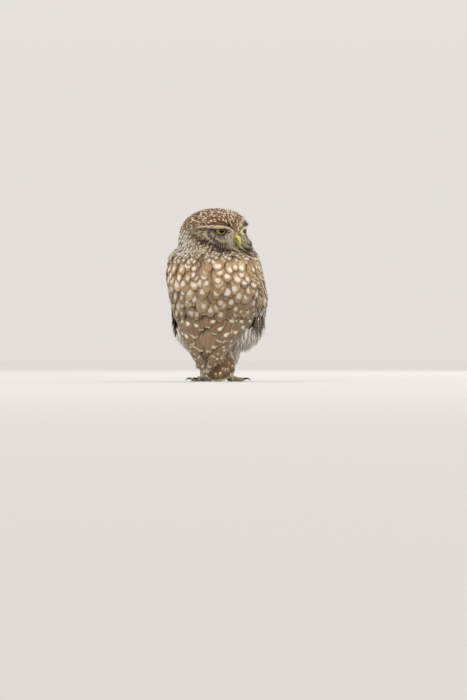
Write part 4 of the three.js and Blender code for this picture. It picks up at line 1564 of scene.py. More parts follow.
@dataclass(frozen=True)
class Tract:
    """A kind of body feather, where it grows and how it lies."""

    name: str
    low: float
    high: float
    spacing: tuple[float, float]
    length: tuple[float, float]
    half: tuple[float, float]
    where: Callable[[Array, Array], Array]
    shape: VaneShape
    turns: tuple[float, float] = (0.0, 1.0)
    depth: float = 2.6
    lift: float = 0.7
    bend: float = 0.3
    lie: Lie = Lie.DOWN
    seed: int = 1
    hang: float = 0.0
    sunk: float = 0.0
    splay: float = 0.1

    def size(self, pair: tuple[float, float], z: Array) -> Array:
        """A size at a height: the first of a pair below the turn and the second above it."""
        return lerp(pair[0], pair[1], ease(z, *self.turns))

    @staticmethod
    def stretch(angle: Array, z: Array) -> Array:
        """How much surface a step of angle and height covers."""
        step = FORM.point(angle, z) - FORM.point(angle, z - 0.12)
        return FORM.radius(angle, z) * np.minimum(np.linalg.norm(step, axis=-1) / 0.12, 12.0)

    def roots(self) -> tuple[Array, Draws]:
        """Points spread over the tract's surface as closely as its spacing asks.

        The heights are read back from the running sum of the surface over the spacing squared; then the first
        points of the even sequence are kept, as many as the surface at each place needs.

        Returns:
            The points, and the source of the draws that follow.
        """
        rng = np.random.default_rng(SEED + self.seed)
        levels = np.linspace(self.low, self.high, 240)
        around, up = np.meshgrid(np.arange(0.0, 360.0, 5.0), levels)
        most = self.stretch(around, up).max(axis=1)
        dense = most / self.size(self.spacing, levels) ** 2
        total = np.concatenate([[0.0], np.cumsum((dense[1:] + dense[:-1]) / 2 * np.diff(levels))])
        tries = int(2 * np.pi * total[-1])
        share = spread_points(tries)
        angle, z = share[:, 0] * 360.0, np.interp(share[:, 1] * total[-1], total, levels)
        need = self.stretch(angle, z) / np.interp(z, levels, most) * self.where(angle, z)
        keep = (np.arange(tries) + 0.5) / tries < need
        return FORM.point(angle, z)[keep], rng

    def ways(self, p: Array, rng: Draws) -> Array:
        """The way each feather sets out, by how its kind lies.

        Args:
            p: the feathers' roots.
            rng: the source of draws.

        Returns:
            Directions, of any length.
        """
        down = np.tile([0.0, 0.0, -1.0], (len(p), 1))
        jitter = 0.12 * rng.normal(size=p.shape)
        if self.lie is Lie.DOWN:
            return down + jitter
        angle, _, z = FORM.polar(p)
        off = FORM.off_look(angle)
        side, turn = np.abs(off), np.radians(off)[:, None]
        outward = (FORM.head_right * np.cos(turn) - FORM.look * np.sin(turn)) * np.sign(off)[:, None]
        if self.lie is Lie.BROW:
            rise = (FORM.brow(side + 2) - FORM.brow(side)) / 1.3 - 0.14 * ease(side, 10, 24)
            return outward - down * rise[:, None] + 0.8 * jitter
        if self.lie is Lie.BRISTLE:
            falling = down * ease(172 - z, -6, 12)[:, None]
            return 0.9 * outward + 0.5 * FORM.look + falling + 1.5 * jitter
        gap = p - FORM.in_head(0.0, 30.0, 167.0)
        reach = np.linalg.norm(gap, axis=-1, keepdims=True)
        share = ease(reach, 26, 70)
        way = unit(gap) * (1 - 0.75 * share) + down * share
        away, _, _ = PATTERN.eye_distance(p)
        near = ((1 - ease(away, 15, 24)) * (1 - ease(side, 70, 90)))[:, None]
        eye_point = np.where(off[:, None] > 0, *(eye.world(np.array([0, 0, 9.0])) for eye in EYES))
        brow = ease(z - FORM.brow(side), 0, 3)[:, None]
        out = near * (1 - 0.6 * brow)
        return way * (1 - out) + unit(p - eye_point) * out + jitter

    def grow(self) -> Mesh:
        """The tract's feathers.

        Returns:
            The mesh.
        """
        roots, rng = self.roots()
        count = len(roots)
        lengths = self.size(self.length, roots[:, 2]) * rng.uniform(0.85, 1.15, count)
        ways = self.ways(roots, rng)
        rows = self.shape.rows
        if self.hang:
            normal = FORM.normal(roots)
            out = unit(ways - normal * dot(ways, normal)) + self.splay * normal
            line, normals = hanging_lines(roots, out, lengths, rows, self.hang, self.depth * 0.6)
        else:
            line, normals = coat_lines(roots, ways, lengths, rows, np.full(count, self.depth),
                                       self.lift * rng.uniform(0.5, 1.4, count), self.bend)
        angle, _, z = FORM.polar(line)
        beds = sum(Skin().wing_bed(side, angle, z) for side in (1, -1))
        line = line - normals * (self.sunk * beds)[..., None]
        markings = PATTERN.body(roots, rng) if self.lie is Lie.DOWN else PATTERN.head(roots, rng)
        half = self.size(self.half, roots[:, 2]) * rng.uniform(0.85, 1.15, count)
        return Vanes(line, normals, half, self.shape, markings, body_unwrap(roots), rng,
                     tilt=rng.uniform(-0.07, 0.07, count)).mesh()


def open_coat(angle: Array, z: Array) -> Array:
    """1 where no folded wing covers the body."""
    side = off_back(angle)
    return np.where((side > leading_edge(z) - 9) | (side < dorsal_edge(z) + 14) | (z > 130), 1.0, 0.0)


def clear_of_eyes(angle: Array, z: Array, gap: float) -> Array:
    """1 where a root stands clear of both eyes and of the bill.

    Args:
        angle, z: places.
        gap: the least distance off an eye's gaze.

    Returns:
        1 or 0.
    """
    away, _, _ = PATTERN.eye_distance(FORM.point(angle, z))
    bill = (face_side(angle) < 8.5) & (z < 170.5) & (z > 153)
    return np.where((away > gap) & ~bill, 1.0, 0.0)


def in_face(angle: Array, z: Array) -> Array:
    """1 on the facial disc, fading across its edge.

    Args:
        angle, z: places.

    Returns:
        Shares.
    """
    side = face_side(angle)
    below = 1 - ease(z - FORM.brow(side), -2.8, -1.4)
    return (1 - ease(side, 84, 96)) * below * ease(z - FORM.rim(side), -1.5, 1.0)


def at_brow(angle: Array, z: Array) -> Array:
    """1 on the band that the pale brow and the dark line under it grow from.

    Args:
        angle, z: places.

    Returns:
        1 or 0.
    """
    side = face_side(angle)
    over = z - FORM.brow(side)
    return np.where((over > -2.8) & (over < 1.3) & (side < 88) & (side > 1), 1.0, 0.0)


def at_bristles(angle: Array, z: Array) -> Array:
    """1 close round the bill's base."""
    side = face_side(angle)
    return np.where((side > 7.5) & (side < 24) & (z > 157) & (z < 173), 1.0, 0.0)


def under_wing(angle: Array, z: Array) -> Array:
    """1 on the flank just inside the folded wing's leading edge."""
    inward = off_back(angle) - leading_edge(z)
    return np.where((inward > -30) & (inward < 7), 1.0, 0.0)


def beside_wing(angle: Array, z: Array) -> Array:
    """1 on the flank just outside the folded wing's leading edge."""
    outward = off_back(angle) - leading_edge(z)
    return np.where((outward > -8) & (outward < 22) & (z < 84 - 0.6 * np.abs(outward - 6)), 1.0, 0.0)


CONTOUR = VaneShape(widths=(0.35, 0.7, 0.92, 1.0, 1.0, 0.94, 0.74, 0.3), barbs=20, barb_length=2.4)
SMALL = VaneShape(widths=(0.4, 0.8, 1.0, 1.0, 0.8, 0.3), barbs=8, barb_length=1.4, thick=0.22)
HAIRY = VaneShape(widths=(0.7, 1.0, 0.85, 0.5, 0.1), barbs=2, barb_length=1.6, thick=0.2)
FLUFF = VaneShape(widths=(0.5, 0.9, 1.0, 0.8, 0.4, 0.1), barbs=16, barb_length=4.0, thick=0.25)

TRACTS = (
    Tract("breast_feathers", 50, 150, (4.1, 3.4), (17, 11), (4.9, 3.2),
          lambda a, z: open_coat(a, z) * (off_back(a) > 80), CONTOUR, (112, 150), depth=3.2, lift=0.15, seed=2),
    Tract("flank_feathers", 46, 120, (4.6, 4.6), (15, 15), (4.0, 4.0), under_wing, CONTOUR, depth=2.0, lift=0.8,
          seed=7, sunk=0.8),
    Tract("mantle_feathers", 62, 156, (8.0, 3.2), (20, 8.5), (7.2, 2.3),
          lambda a, z: open_coat(a, z) * (off_back(a) <= 80), CONTOUR, (134, 162), depth=3.2, lift=0.8, seed=3,
          sunk=0.4),
    Tract("vent_feathers", 41.6, 62, (3.8, 3.8), (16, 16), (3.4, 3.4), lambda a, z: np.ones_like(z), FLUFF,
          depth=3.0, hang=1.6, seed=4),
    Tract("flank_fluff", 46, 92, (4.6, 4.6), (17, 13), (3.2, 2.8), beside_wing, FLUFF, (50, 90), depth=2.5,
          hang=0.8, seed=10, splay=0.3),
    Tract("crown_feathers", 150, 200.66, (2.9, 2.5), (8.5, 8.0), (2.2, 2.0),
          lambda a, z: (1 - in_face(a, z)) * (1 - at_brow(a, z)) * clear_of_eyes(a, z, 9.0), SMALL, (150, 180),
          depth=1.9, lift=0.6, lie=Lie.FACE, seed=5),
    Tract("face_feathers", 150, 186, (1.12, 1.12), (4.8, 4.8), (0.58, 0.58),
          lambda a, z: in_face(a, z) * clear_of_eyes(a, z, 7.3), HAIRY, depth=1.2, lift=0.7, lie=Lie.FACE,
          seed=6),
    Tract("brow_feathers", 164, 186, (1.05, 1.05), (7.0, 7.0), (0.5, 0.5), at_brow, HAIRY, depth=0.8, lift=1.3,
          lie=Lie.BROW, seed=8),
    Tract("bill_bristles", 157, 173, (1.15, 1.15), (9.5, 9.5), (0.42, 0.42), at_bristles, HAIRY, depth=0.5,
          lie=Lie.BRISTLE, seed=9, hang=0.9, splay=0.55),
)


@dataclass
class Coat:
    """The body feathers of every tract, each tract split into pieces of a fair size."""

    limit: int = 190000

    def build(self, finish: Material) -> list[Piece]:
        """One or more pieces for each tract.

        Args:
            finish: the material.

        Returns:
            The pieces.
        """
        made = []
        for tract in TRACTS:
            made += split_feathers(tract.name, tract.grow(), finish, self.limit)
        return made


def split_feathers(name: str, mesh: Mesh, finish: Material, limit: int) -> list[Piece]:
    """Feathers as pieces of at most limit triangles, cut between whole feathers by their height.

    Args:
        name, mesh, finish: as for add_feathers.
        limit: the most triangles in a piece.

    Returns:
        The pieces.
    """
    shares = int(np.ceil(len(mesh.faces) / limit))
    if shares == 1:
        return [add_feathers(name, mesh, finish)]
    rank = np.argsort(np.argsort(mesh.bake[:, 1], kind="stable"), kind="stable")
    group = rank * shares // len(mesh.points)
    face_group = group[mesh.faces].max(axis=1)
    made = []
    for k in range(shares):
        made.append(add_feathers(f"{name}_{k + 1}", mesh.only(mesh.faces[face_group == k]), finish))
    return made


@dataclass(frozen=True)
class Tier:
    """A row of feathers on the folded wing.

    root and tip are the places of the first and of the last feather. half, sunk and lift are for the same two.
    """

    name: str
    count: int
    root: tuple[tuple[float, float], tuple[float, float]]
    tip: tuple[tuple[float, float], tuple[float, float]]
    half: tuple[float, float]
    sunk: tuple[float, float]
    lift: tuple[float, float]
    rise: float
    dip: float = 0.0
    flight: bool = False
    rows: float = 0.0
    notch: float = 0.0
    bars: float = 0.0


TIERS = (
    Tier("primary", 9, ((54, 88), (88, 96)), ((26, 46), (56, 34)), (7, 5.2), (3.6, 6.4), (1, -5.2), 50, 31.0,
         True, 7, 0.5, 0.06),
    Tier("secondary", 7, ((84, 106), (22, 96)), ((70, 62), (9, 34)), (8.6, 9.8), (5.1, 4.7), (-0.6, 3), 44, 2.0,
         True, 4.4, 0.65, 0.04),
    Tier("tertial", 3, ((32, 106), (12, 104)), ((27, 44), (5, 60)), (10, 10), (4.4, 4), (4, 4.8), 38, 0.0,
         True, 3.6, 0.75, 0.04),
    Tier("primary_covert", 6, ((89, 111), (103, 115)), ((76, 84), (93, 90)), (5.4, 4.6), (4.6, 5.6),
         (0.2, -1.6), 24),
    Tier("greater_covert", 10, ((95, 118), (26, 112)), ((83, 88), (24, 78)), (6.4, 7.4), (5, 4.8),
         (1, 3.4), 30),
)

FLIGHT_SHAPE = VaneShape(widths=(0.3, 0.62, 0.85, 0.97, 1.0, 1.0, 1.0, 0.98, 0.9, 0.7, 0.3), columns=5,
                         thick=0.4, camber=0.1, barbs=8, barb_length=2.0, stiff=True)
COVERT_SHAPE = VaneShape(widths=(0.4, 0.75, 0.95, 1.0, 1.0, 0.94, 0.74, 0.3), columns=5, thick=0.35,
                         camber=0.14, barbs=24, barb_length=2.4)
TAIL_SHAPE = replace(FLIGHT_SHAPE, widths=(0.55, 0.75, 0.9, 0.97, 1.0, 1.0, 1.0, 0.99, 0.95, 0.82, 0.45))


@dataclass(frozen=True)
class Wing(Sided):
    """A folded wing: its flesh as a curved slab, and tiers of feathers on the cloak that both wings make."""

    low: float = 8.0
    taper: float = 100.0
    back: float = 4.0
    sweep: float = 41.0
    edge: float = 39.0
    flat_from: float = 20.0
    flat_to: float = 58.0
    tip_turn: float = 27.0
    tilt: float = 0.17
    over: float = 0.6
    top: float = 135.0
    bottom: float = 66.0
    gap: float = 0.8
    coat_reach: float = 99.0
    finest: float = 5.0
    coarsest: float = 9.4

    def cloak(self, angle: Array, z: Array, lift: Array | float = 0.0) -> Array:
        """A point on the cloak: an ellipse round the back that narrows and flattens towards the tail.

        Args:
            angle, z: places.
            lift: how far over the cloak.

        Returns:
            Points.
        """
        s = np.sin(np.pi / 2 * np.clip((z - self.low) / self.taper, 0.02, 1))
        size = bulge(np.maximum(0.0, z - FORM.body_mid), FORM.body_rise, FORM.rise_shape)
        axis = FORM.axis(np.maximum(z, FORM.lean_from))
        half = FORM.body_half * s * size + lift
        depth = (self.back + self.sweep * s) * size + lift
        flat = 1 - 0.85 * (1 - ease(z, self.flat_from, self.flat_to))
        turn = np.radians(angle)
        x = axis[..., 0] - self.side * half * np.sin(turn)
        y = axis[..., 1] + self.edge * (1 - s) + depth * (1 - flat * (1 - np.cos(turn)))
        return np.stack(np.broadcast_arrays(x, y, z), axis=-1)

    def normal(self, angle: Array, z: Array) -> Array:
        """The way a feather on the cloak faces: outwards, and low down all the same way.

        Args:
            angle, z: places.

        Returns:
            Unit vectors.
        """
        here = self.cloak(angle, z)
        out = unit(np.cross(self.cloak(angle + 1, z) - here, self.cloak(angle, z + 1) - here)) * self.side
        turn = np.radians(self.tip_turn)
        facing = np.array([-self.side * np.sin(turn), np.cos(turn), 0.0])
        share = ease(z, 24, 78)[..., None]
        return unit(out * share + facing * (1 - share))

    def tier(self, tier: Tier, rng: Draws) -> tuple[Array, Array, Array, Array]:
        """Centre lines, normals, half widths and shares of a tier's feathers.

        Args:
            tier: the row.
            rng: the source of draws.

        Returns:
            The lines, normals, half widths, and shares along the row.
        """
        share = np.linspace(0, 1, tier.count)
        pick = lambda pair: [lerp(pair[0][k], pair[1][k], share) for k in (0, 1)]
        (root_angle, root_z), (tip_angle, tip_z) = pick(tier.root), pick(tier.tip)
        tip_angle = tip_angle + 0.8 * rng.uniform(-1, 1, tier.count)
        tip_z = tip_z - tier.dip * np.sin(np.pi * share**0.8) + 0.8 * rng.uniform(-1, 1, tier.count)
        tip_z = tip_z + self.over * self.side * 3.0 * ease(tip_z, 30, 46)
        shape = FLIGHT_SHAPE if tier.flight else COVERT_SHAPE
        t = np.linspace(0, 1, shape.rows)[None]
        z = lerp(root_z[:, None], tip_z[:, None], t)
        angle = lerp(root_angle[:, None], tip_angle[:, None], t)
        risen = np.clip((root_z[:, None] - z) / tier.rise, 0, 1)
        lift = lerp(-lerp(*tier.sunk, share)[:, None], lerp(*tier.lift, share)[:, None], risen)
        lift = lift + self.over * self.side
        normal = self.normal(angle, z)
        line = self.cloak(angle, z) + normal * lift[..., None]
        line[..., 0] = np.where(line[..., 0] * -self.side < self.gap, -self.side * self.gap, line[..., 0])
        half = lerp(*tier.half, share) * (1 + 0.04 * rng.uniform(-1, 1, tier.count))
        return line, normal, half, share

    @staticmethod
    def covert_marks(share: Array, rng: Draws) -> Markings:
        """Brown coverts with large pale spots near the back, narrower and streakier near the leading edge.

        Args:
            share: 0 at the leading edge and 1 at the back.
            rng: the source of draws.

        Returns:
            The markings.
        """
        n, c = len(share), PALETTE
        ground = c.varied(rng.random(n))
        front = 1 - ease(share, 0.0, 0.35)
        spot = (0.9 + 0.4 * rng.random(n)) * (rng.random(n) < 0.92) * (1 - 0.45 * front)
        return Markings(ground, c.spot * np.ones((n, 1)), figures(rng, n, spot, 0.12 * front, 0.16))

    def coat(self, rng: Draws) -> Mesh:
        """Round spotted feathers over the shoulder and back, smaller towards the neck and the leading edge.

        Args:
            rng: the source of draws.

        Returns:
            The mesh.
        """
        tries = 190
        share = spread_points(tries)
        angle, z = self.coat_reach * share[:, 0], lerp(90, 143, share[:, 1])
        small = np.maximum(ease(angle, 62, 98), 0.7 * ease(z, 124, 146))
        spacing = lerp(self.coarsest, self.finest, small)
        keep = (np.arange(tries) + 0.5) / tries < (self.finest / spacing) ** 2
        angle, z, spacing = angle[keep], z[keep], spacing[keep]
        count = len(z)
        angle, z = angle + 1.5 * rng.uniform(-1, 1, count), z + 1.5 * rng.uniform(-1, 1, count)
        t = np.linspace(0, 1, COVERT_SHAPE.rows)[None]
        heights = z[:, None] - (2.35 * spacing * rng.uniform(0.9, 1.12, count))[:, None] * t
        turns = angle[:, None] * (1 - 0.14 * t) - 1.0 + rng.uniform(-5, 5, (count, 1)) * t
        level = lerp(5.8, 0.5, ease(turns, 20, 95)) * ease(146 - heights, 0, 34) + self.over * self.side
        normal = self.normal(turns, heights)
        line = self.cloak(turns, heights) + normal * (level - 2.8 * (1 - t**0.7) + 0.9 * t**2)[..., None]
        marks = self.covert_marks(1 - angle / self.coat_reach, rng)
        high = ease(z, 104, 138)
        marks.ground = marks.ground * lerp(0.62, 1.05, high)[:, None]
        marks.mark = marks.mark * lerp(0.68, 1.0, high)[:, None]
        marks.figure[:, 0] *= lerp(0.78, 1.0, high)
        half = 0.82 * spacing * rng.uniform(0.85, 1.12, count)
        return Vanes(line, normal, half, COVERT_SHAPE, marks, body_unwrap(line[:, 0]), rng,
                     tilt=rng.uniform(-0.16, 0.16, count)).mesh()

    def build(self, flight: Material, soft: Material, skin: Material) -> list[Piece]:
        """The wing's flesh, its flight feathers and its coverts, which together stand for the wing's solid.

        Args:
            flight, soft, skin: the materials of vanes, coverts and flesh.

        Returns:
            The pieces.
        """
        rng = np.random.default_rng(SEED + 40 + self.side)
        flights, coverts = [], []
        cells = VaneCells(8)
        for tier in TIERS:
            line, normal, half, share = self.tier(tier, rng)
            log.info("wing_%s, %s: %d feathers", self.label, tier.name, tier.count)
            if tier.flight:
                ground = mix(PALETTE.quill, PALETTE.dark, 0.25 * rng.random(tier.count))
                figure = figures(rng, tier.count, tier.rows / 10, tier.notch, tier.bars)
                marks = Markings(ground, PALETTE.cream * np.ones((tier.count, 1)), figure)
                vanes = Vanes(line, normal, half, FLIGHT_SHAPE, marks, np.zeros((tier.count, 2)), rng,
                              tilt=-self.side * self.tilt)
                flights.append(cells.lay(vanes.mesh(), tier.count, -self.side))
            else:
                coverts.append(Vanes(line, normal, half, COVERT_SHAPE, self.covert_marks(share, rng),
                                     body_unwrap(line[:, 0]), rng, tilt=-self.side * self.tilt).mesh())
        coverts.append(self.coat(rng))
        made = [self.flesh(skin)]
        for ending, sets, finish in (("flight_feathers", flights, flight), ("coverts", coverts, soft)):
            made.append(add_feathers(f"wing_{self.label}_{ending}", Mesh.join(sets), finish))
        return made

    def flesh(self, finish: Material) -> Piece:
        """The wing's own flesh: a slab between two surfaces of the cloak, rounded at its edges.

        Args:
            finish: the material.

        Returns:
            The object.
        """
        levels = np.linspace(self.bottom + 1, self.top - 1, 30)
        across = 16
        share = np.linspace(0, 1, across)
        rings = []
        for z in levels:
            dorsal = dorsal_edge(z) + 3 + 20 * (1 - ease(z, self.bottom, 96))
            angle = lerp(dorsal, leading_edge(z) - 4, share)
            end = ease(z, self.top - 12, self.top) + 1 - ease(z, self.bottom, self.bottom + 14)
            outer = self.cloak(angle, np.full(across, z), -3.4 - 1.4 * np.abs(2 * share - 1) ** 4 - 2.2 * end)
            inner = self.cloak(angle, np.full(across, z), np.full(across, -7.0))
            rings.append(np.concatenate([outer, inner[::-1]]))
        points = np.stack(rings)
        caps = np.stack([np.repeat(points[k].mean(axis=0)[None], points.shape[1], axis=0) for k in (0, -1)])
        points = np.concatenate([caps[:1], points, caps[1:]])
        faces = grid_faces(len(points), points.shape[1], True)
        if self.side < 0:
            faces = faces[:, ::-1]
        return add_form(f"wing_{self.label}", "flesh", points.reshape(-1, 3), faces, finish, "flight_feathers",
                        PALETTE.back)


@dataclass
class VaneCells:
    """Gives each large vane a patch of its own in rows, because one such feather is many bars long."""

    columns: int
    used: int = 0

    def lay(self, mesh: Mesh, count: int, outer: int) -> Mesh:
        """Lays count vanes in the next patches, and turns each vane's map so that 1 is its leading web.

        Args:
            mesh: the vanes.
            count: how many.
            outer: 1 or -1, the side of the leading web.

        Returns:
            The mesh with new maps.
        """
        vane = mesh.vane * np.array([outer, 1.0])
        bake = np.empty_like(vane)
        _, owner = np.unique(mesh.figure[:, 3], return_inverse=True)
        cell = owner.reshape(-1) + self.used
        bake[:, 0] = (cell % self.columns + 0.5 + 0.42 * vane[:, 0]) / self.columns
        bake[:, 1] = (cell // self.columns + 0.05 + 0.9 * np.clip(vane[:, 1], 0, 1)) / self.columns
        self.used += count
        return replace(mesh, vane=vane, bake=bake)


@dataclass
class Tail:
    """Twelve tail feathers in a fan, the middle pair outermost, and soft feathers over their roots."""

    count: int = 12
    root_x: float = -3.0
    root_y: float = 33.0
    root_z: float = 60.0
    root_spread: float = 13.0
    tip_x: float = -12.5
    tip_y: float = 31.0
    tip_spread: float = 31.0
    tip_z: float = 0.6
    corner: float = 9.0
    half: float = 6.3
    layer: float = 1.3
    facing: float = 0.09

    def place(self, share: Array, level: Array, t: Array) -> tuple[Array, Array]:
        """Points and normals along feathers at their share of the fan's width.

        Args:
            share: across the fan, from 0 to 1.
            level: how far in front of the root line.
            t: along the feather, from 0 to 1.

        Returns:
            Points and unit normals.
        """
        side = 2 * share - 1
        x = lerp(self.root_x + side * self.root_spread / 2, self.tip_x + side * self.tip_spread / 2, t)
        y = lerp(self.root_y, self.tip_y, t) - level * lerp(0.75, 1.0, t)
        z = lerp(self.root_z - 6 * np.abs(side), self.tip_z + self.corner * np.abs(side) ** 2.4, t)
        normal = unit(np.stack(np.broadcast_arrays(-side * self.facing, 1.0, 0.0 * z), axis=-1))
        return np.stack(np.broadcast_arrays(x, y, z), axis=-1), normal

    def build(self, flight: Material, soft: Material, skin: Material) -> list[Piece]:
        """The tail's flesh, its feathers, and the coverts above and under them.

        Args:
            flight, soft, skin: the materials of vanes, coverts and flesh.

        Returns:
            The pieces.
        """
        rng = np.random.default_rng(SEED + 60)
        index = np.arange(self.count)
        share = index / (self.count - 1)
        level = np.abs(index - self.count / 2 + 0.75) * self.layer
        t = np.linspace(0, 1, TAIL_SHAPE.rows)
        line, normal = self.place(share[:, None], level[:, None], t[None])
        half = self.half * (1 + 0.03 * rng.uniform(-1, 1, self.count))
        figure = figures(rng, self.count, 0.4, 0.32, 0.2)
        ground = PALETTE.tail * (1 + 0.08 * rng.uniform(-1, 1, (self.count, 1)))
        marks = Markings(ground, PALETTE.cream * np.ones((self.count, 1)), figure)
        vanes = Vanes(line, normal, half, TAIL_SHAPE, marks, np.zeros((self.count, 2)), rng)
        mesh = VaneCells(4).lay(vanes.mesh(), self.count, 1)
        off_floor(mesh.points, FEATHER_GAP)
        return [self.flesh(skin), add_feathers("tail_feathers", mesh, flight),
                self.coverts(soft, rng)]

    def flesh(self, finish: Material) -> Piece:
        """The tail's short flat root.

        Args:
            finish: the material.

        Returns:
            The object.
        """
        line = np.array([[-2.5, 33.5, 65], [-3, 32, 60], [-4, 29.6, 52], [-5, 28.6, 46], [-6, 28.6, 41]], float)
        steps = np.linspace(0, 4, 17)
        fine = np.stack([np.interp(steps, range(5), line[:, k]) for k in range(3)], axis=-1)
        wide = np.interp(steps, range(5), [4, 9, 11.5, 11, 5])
        points, faces, _ = tube(fine, wide, wide * 0.4, 24, np.array([0, 1.0, 0]))
        return add_form("tail", "flesh", points, faces, finish, "flight_feathers", PALETTE.buff)

    def coverts(self, finish: Material, rng: Draws) -> Piece:
        """Soft feathers over the quills: brown and spotted behind, white and loose in front.

        Args:
            finish: the material.
            rng: the source of draws.

        Returns:
            The object.
        """
        sets = []
        for front, count in ((False, 70), (True, 60)):
            share = rng.random(count)
            start = rng.uniform(0.0, 0.35, count)
            shape = FLUFF_LONG if front else CONTOUR
            t = start[:, None] + np.linspace(0, 1, shape.rows)[None] * rng.uniform(0.28, 0.42, (count, 1))
            level = rng.uniform(8.7, 10.3, (count, 1)) if front else rng.uniform(-9, -1, (count, 1))
            line, normal = self.place(share[:, None], level, t)
            normal = -normal if front else normal
            colour, mark = (PALETTE.white, PALETTE.streak) if front else (PALETTE.back, PALETTE.cream)
            figure = (0.0, 0.05, 0.2) if front else (0.5, 0.0, 0.08)
            marks = Markings.plain(count, colour, mark, figure, rng)
            sets.append(Vanes(line, normal, np.full(count, 3.6), shape, marks,
                              body_unwrap(line[:, 0]), rng).mesh())
        return add_feathers("tail_coverts", Mesh.join(sets), finish)


FLUFF_LONG = replace(FLUFF, widths=(0.5, 0.85, 1.0, 0.95, 0.7, 0.4, 0.1))


@dataclass
class Eye:
    """An eyeball with a raised cornea, and the bare rim of its lids."""

    place: EyePlace
    cornea: float = 0.9
    rim: float = 10.0
    lowered: float = 1.2
    cornea_reach: float = 6.4
    wide: float = 6.9
    tall: float = 6.1
    chord: float = 1.7
    slope: float = -8.0
    wrinkles: int = 26

    def ball(self, finish: Material) -> Piece:
        """The ball, a turned grid about the gaze, with the cornea swelling out in front of the iris.

        Args:
            finish: the material.

        Returns:
            The object.
        """
        rows, columns = 40, 64
        lift = np.linspace(0, 1, rows)[:, None] * 0.62 * np.pi
        turn = np.linspace(0, 2 * np.pi, columns, endpoint=False)[None]
        away = self.place.radius * np.sin(lift)
        swell = np.maximum(0, 1 - (away / self.cornea_reach) ** 2) ** 1.5
        radius = self.place.radius + self.cornea * swell * (lift < 1.2)
        out = radius * np.sin(lift)
        local = [out * np.cos(turn), out * np.sin(turn), radius * np.cos(lift)]
        local = np.stack(np.broadcast_arrays(*local), axis=-1)
        local[-1] = local[-1].mean(axis=0)
        flat = local.reshape(-1, 3)
        seen = flat[:, :2] + [0.0, self.lowered]
        gaze = np.where(flat[:, 2:] > 0, seen, 9.9 * unit(flat[:, :2] + 1e-6)) / 10.0
        points, faces = self.place.world(flat), grid_faces(rows, columns, True)
        return add_form(f"eye_{self.place.label}", "ball", points, faces, finish, "eyes", Gaze=gaze)

    def opening(self, turn: Array) -> Array:
        """The lids' edge: a circle cut by a straight upper lid that is lower towards the bill.

        Args:
            turn: radians round the gaze.

        Returns:
            Millimetres off the gaze.
        """
        rise = np.sin(turn - np.radians(self.slope * self.place.side))
        chord = np.where(rise > 0.02, self.chord / np.maximum(rise, 1e-3), 99.0)
        circle = 1 / np.hypot(np.cos(turn) / self.wide, np.sin(turn) / self.tall)
        return (circle**-8.0 + chord**-8.0) ** (-1 / 8)

    def lids(self, finish: Material) -> Piece:
        """The lids: a rounded lip on the ball that runs out under the feathers.

        Args:
            finish: the material.

        Returns:
            The object.
        """
        rows, columns = 12, 72
        turn = np.linspace(0, 2 * np.pi, columns, endpoint=False)[None]
        v = np.linspace(0, 1, rows)[:, None]
        inner = self.opening(turn)
        away = inner + (self.rim - inner) * v**1.3
        proud = 0.05 + 1.25 * np.sqrt(np.clip(1 - (1 - np.minimum(v / 0.35, 1)) ** 2, 0, 1)) - 0.4 * v
        proud = proud + 0.12 * np.cos(turn * self.wrinkles) * v * (1 - v)
        radius = self.place.radius + proud + 0.55 * (1 - v)
        depth = np.sqrt(np.maximum(radius**2 - np.minimum(away, radius * 0.96) ** 2, 0.0))
        shape = np.stack(np.broadcast_arrays(away * np.cos(turn), away * np.sin(turn), depth), axis=-1)
        back = shape.copy()
        back[..., 2] -= 1.6
        local = np.concatenate([back[::-1], shape]).reshape(-1, 3)
        faces = grid_faces(2 * rows, columns, True)
        ring = np.arange(columns)
        last = (2 * rows - 1) * columns
        closing = np.stack([last + ring, last + (ring + 1) % columns, (ring + 1) % columns, ring], axis=-1)
        faces = np.concatenate([faces, closing])[:, ::-1]
        return add_piece(f"eye_{self.place.label}_lids", self.place.world(local), faces, finish)


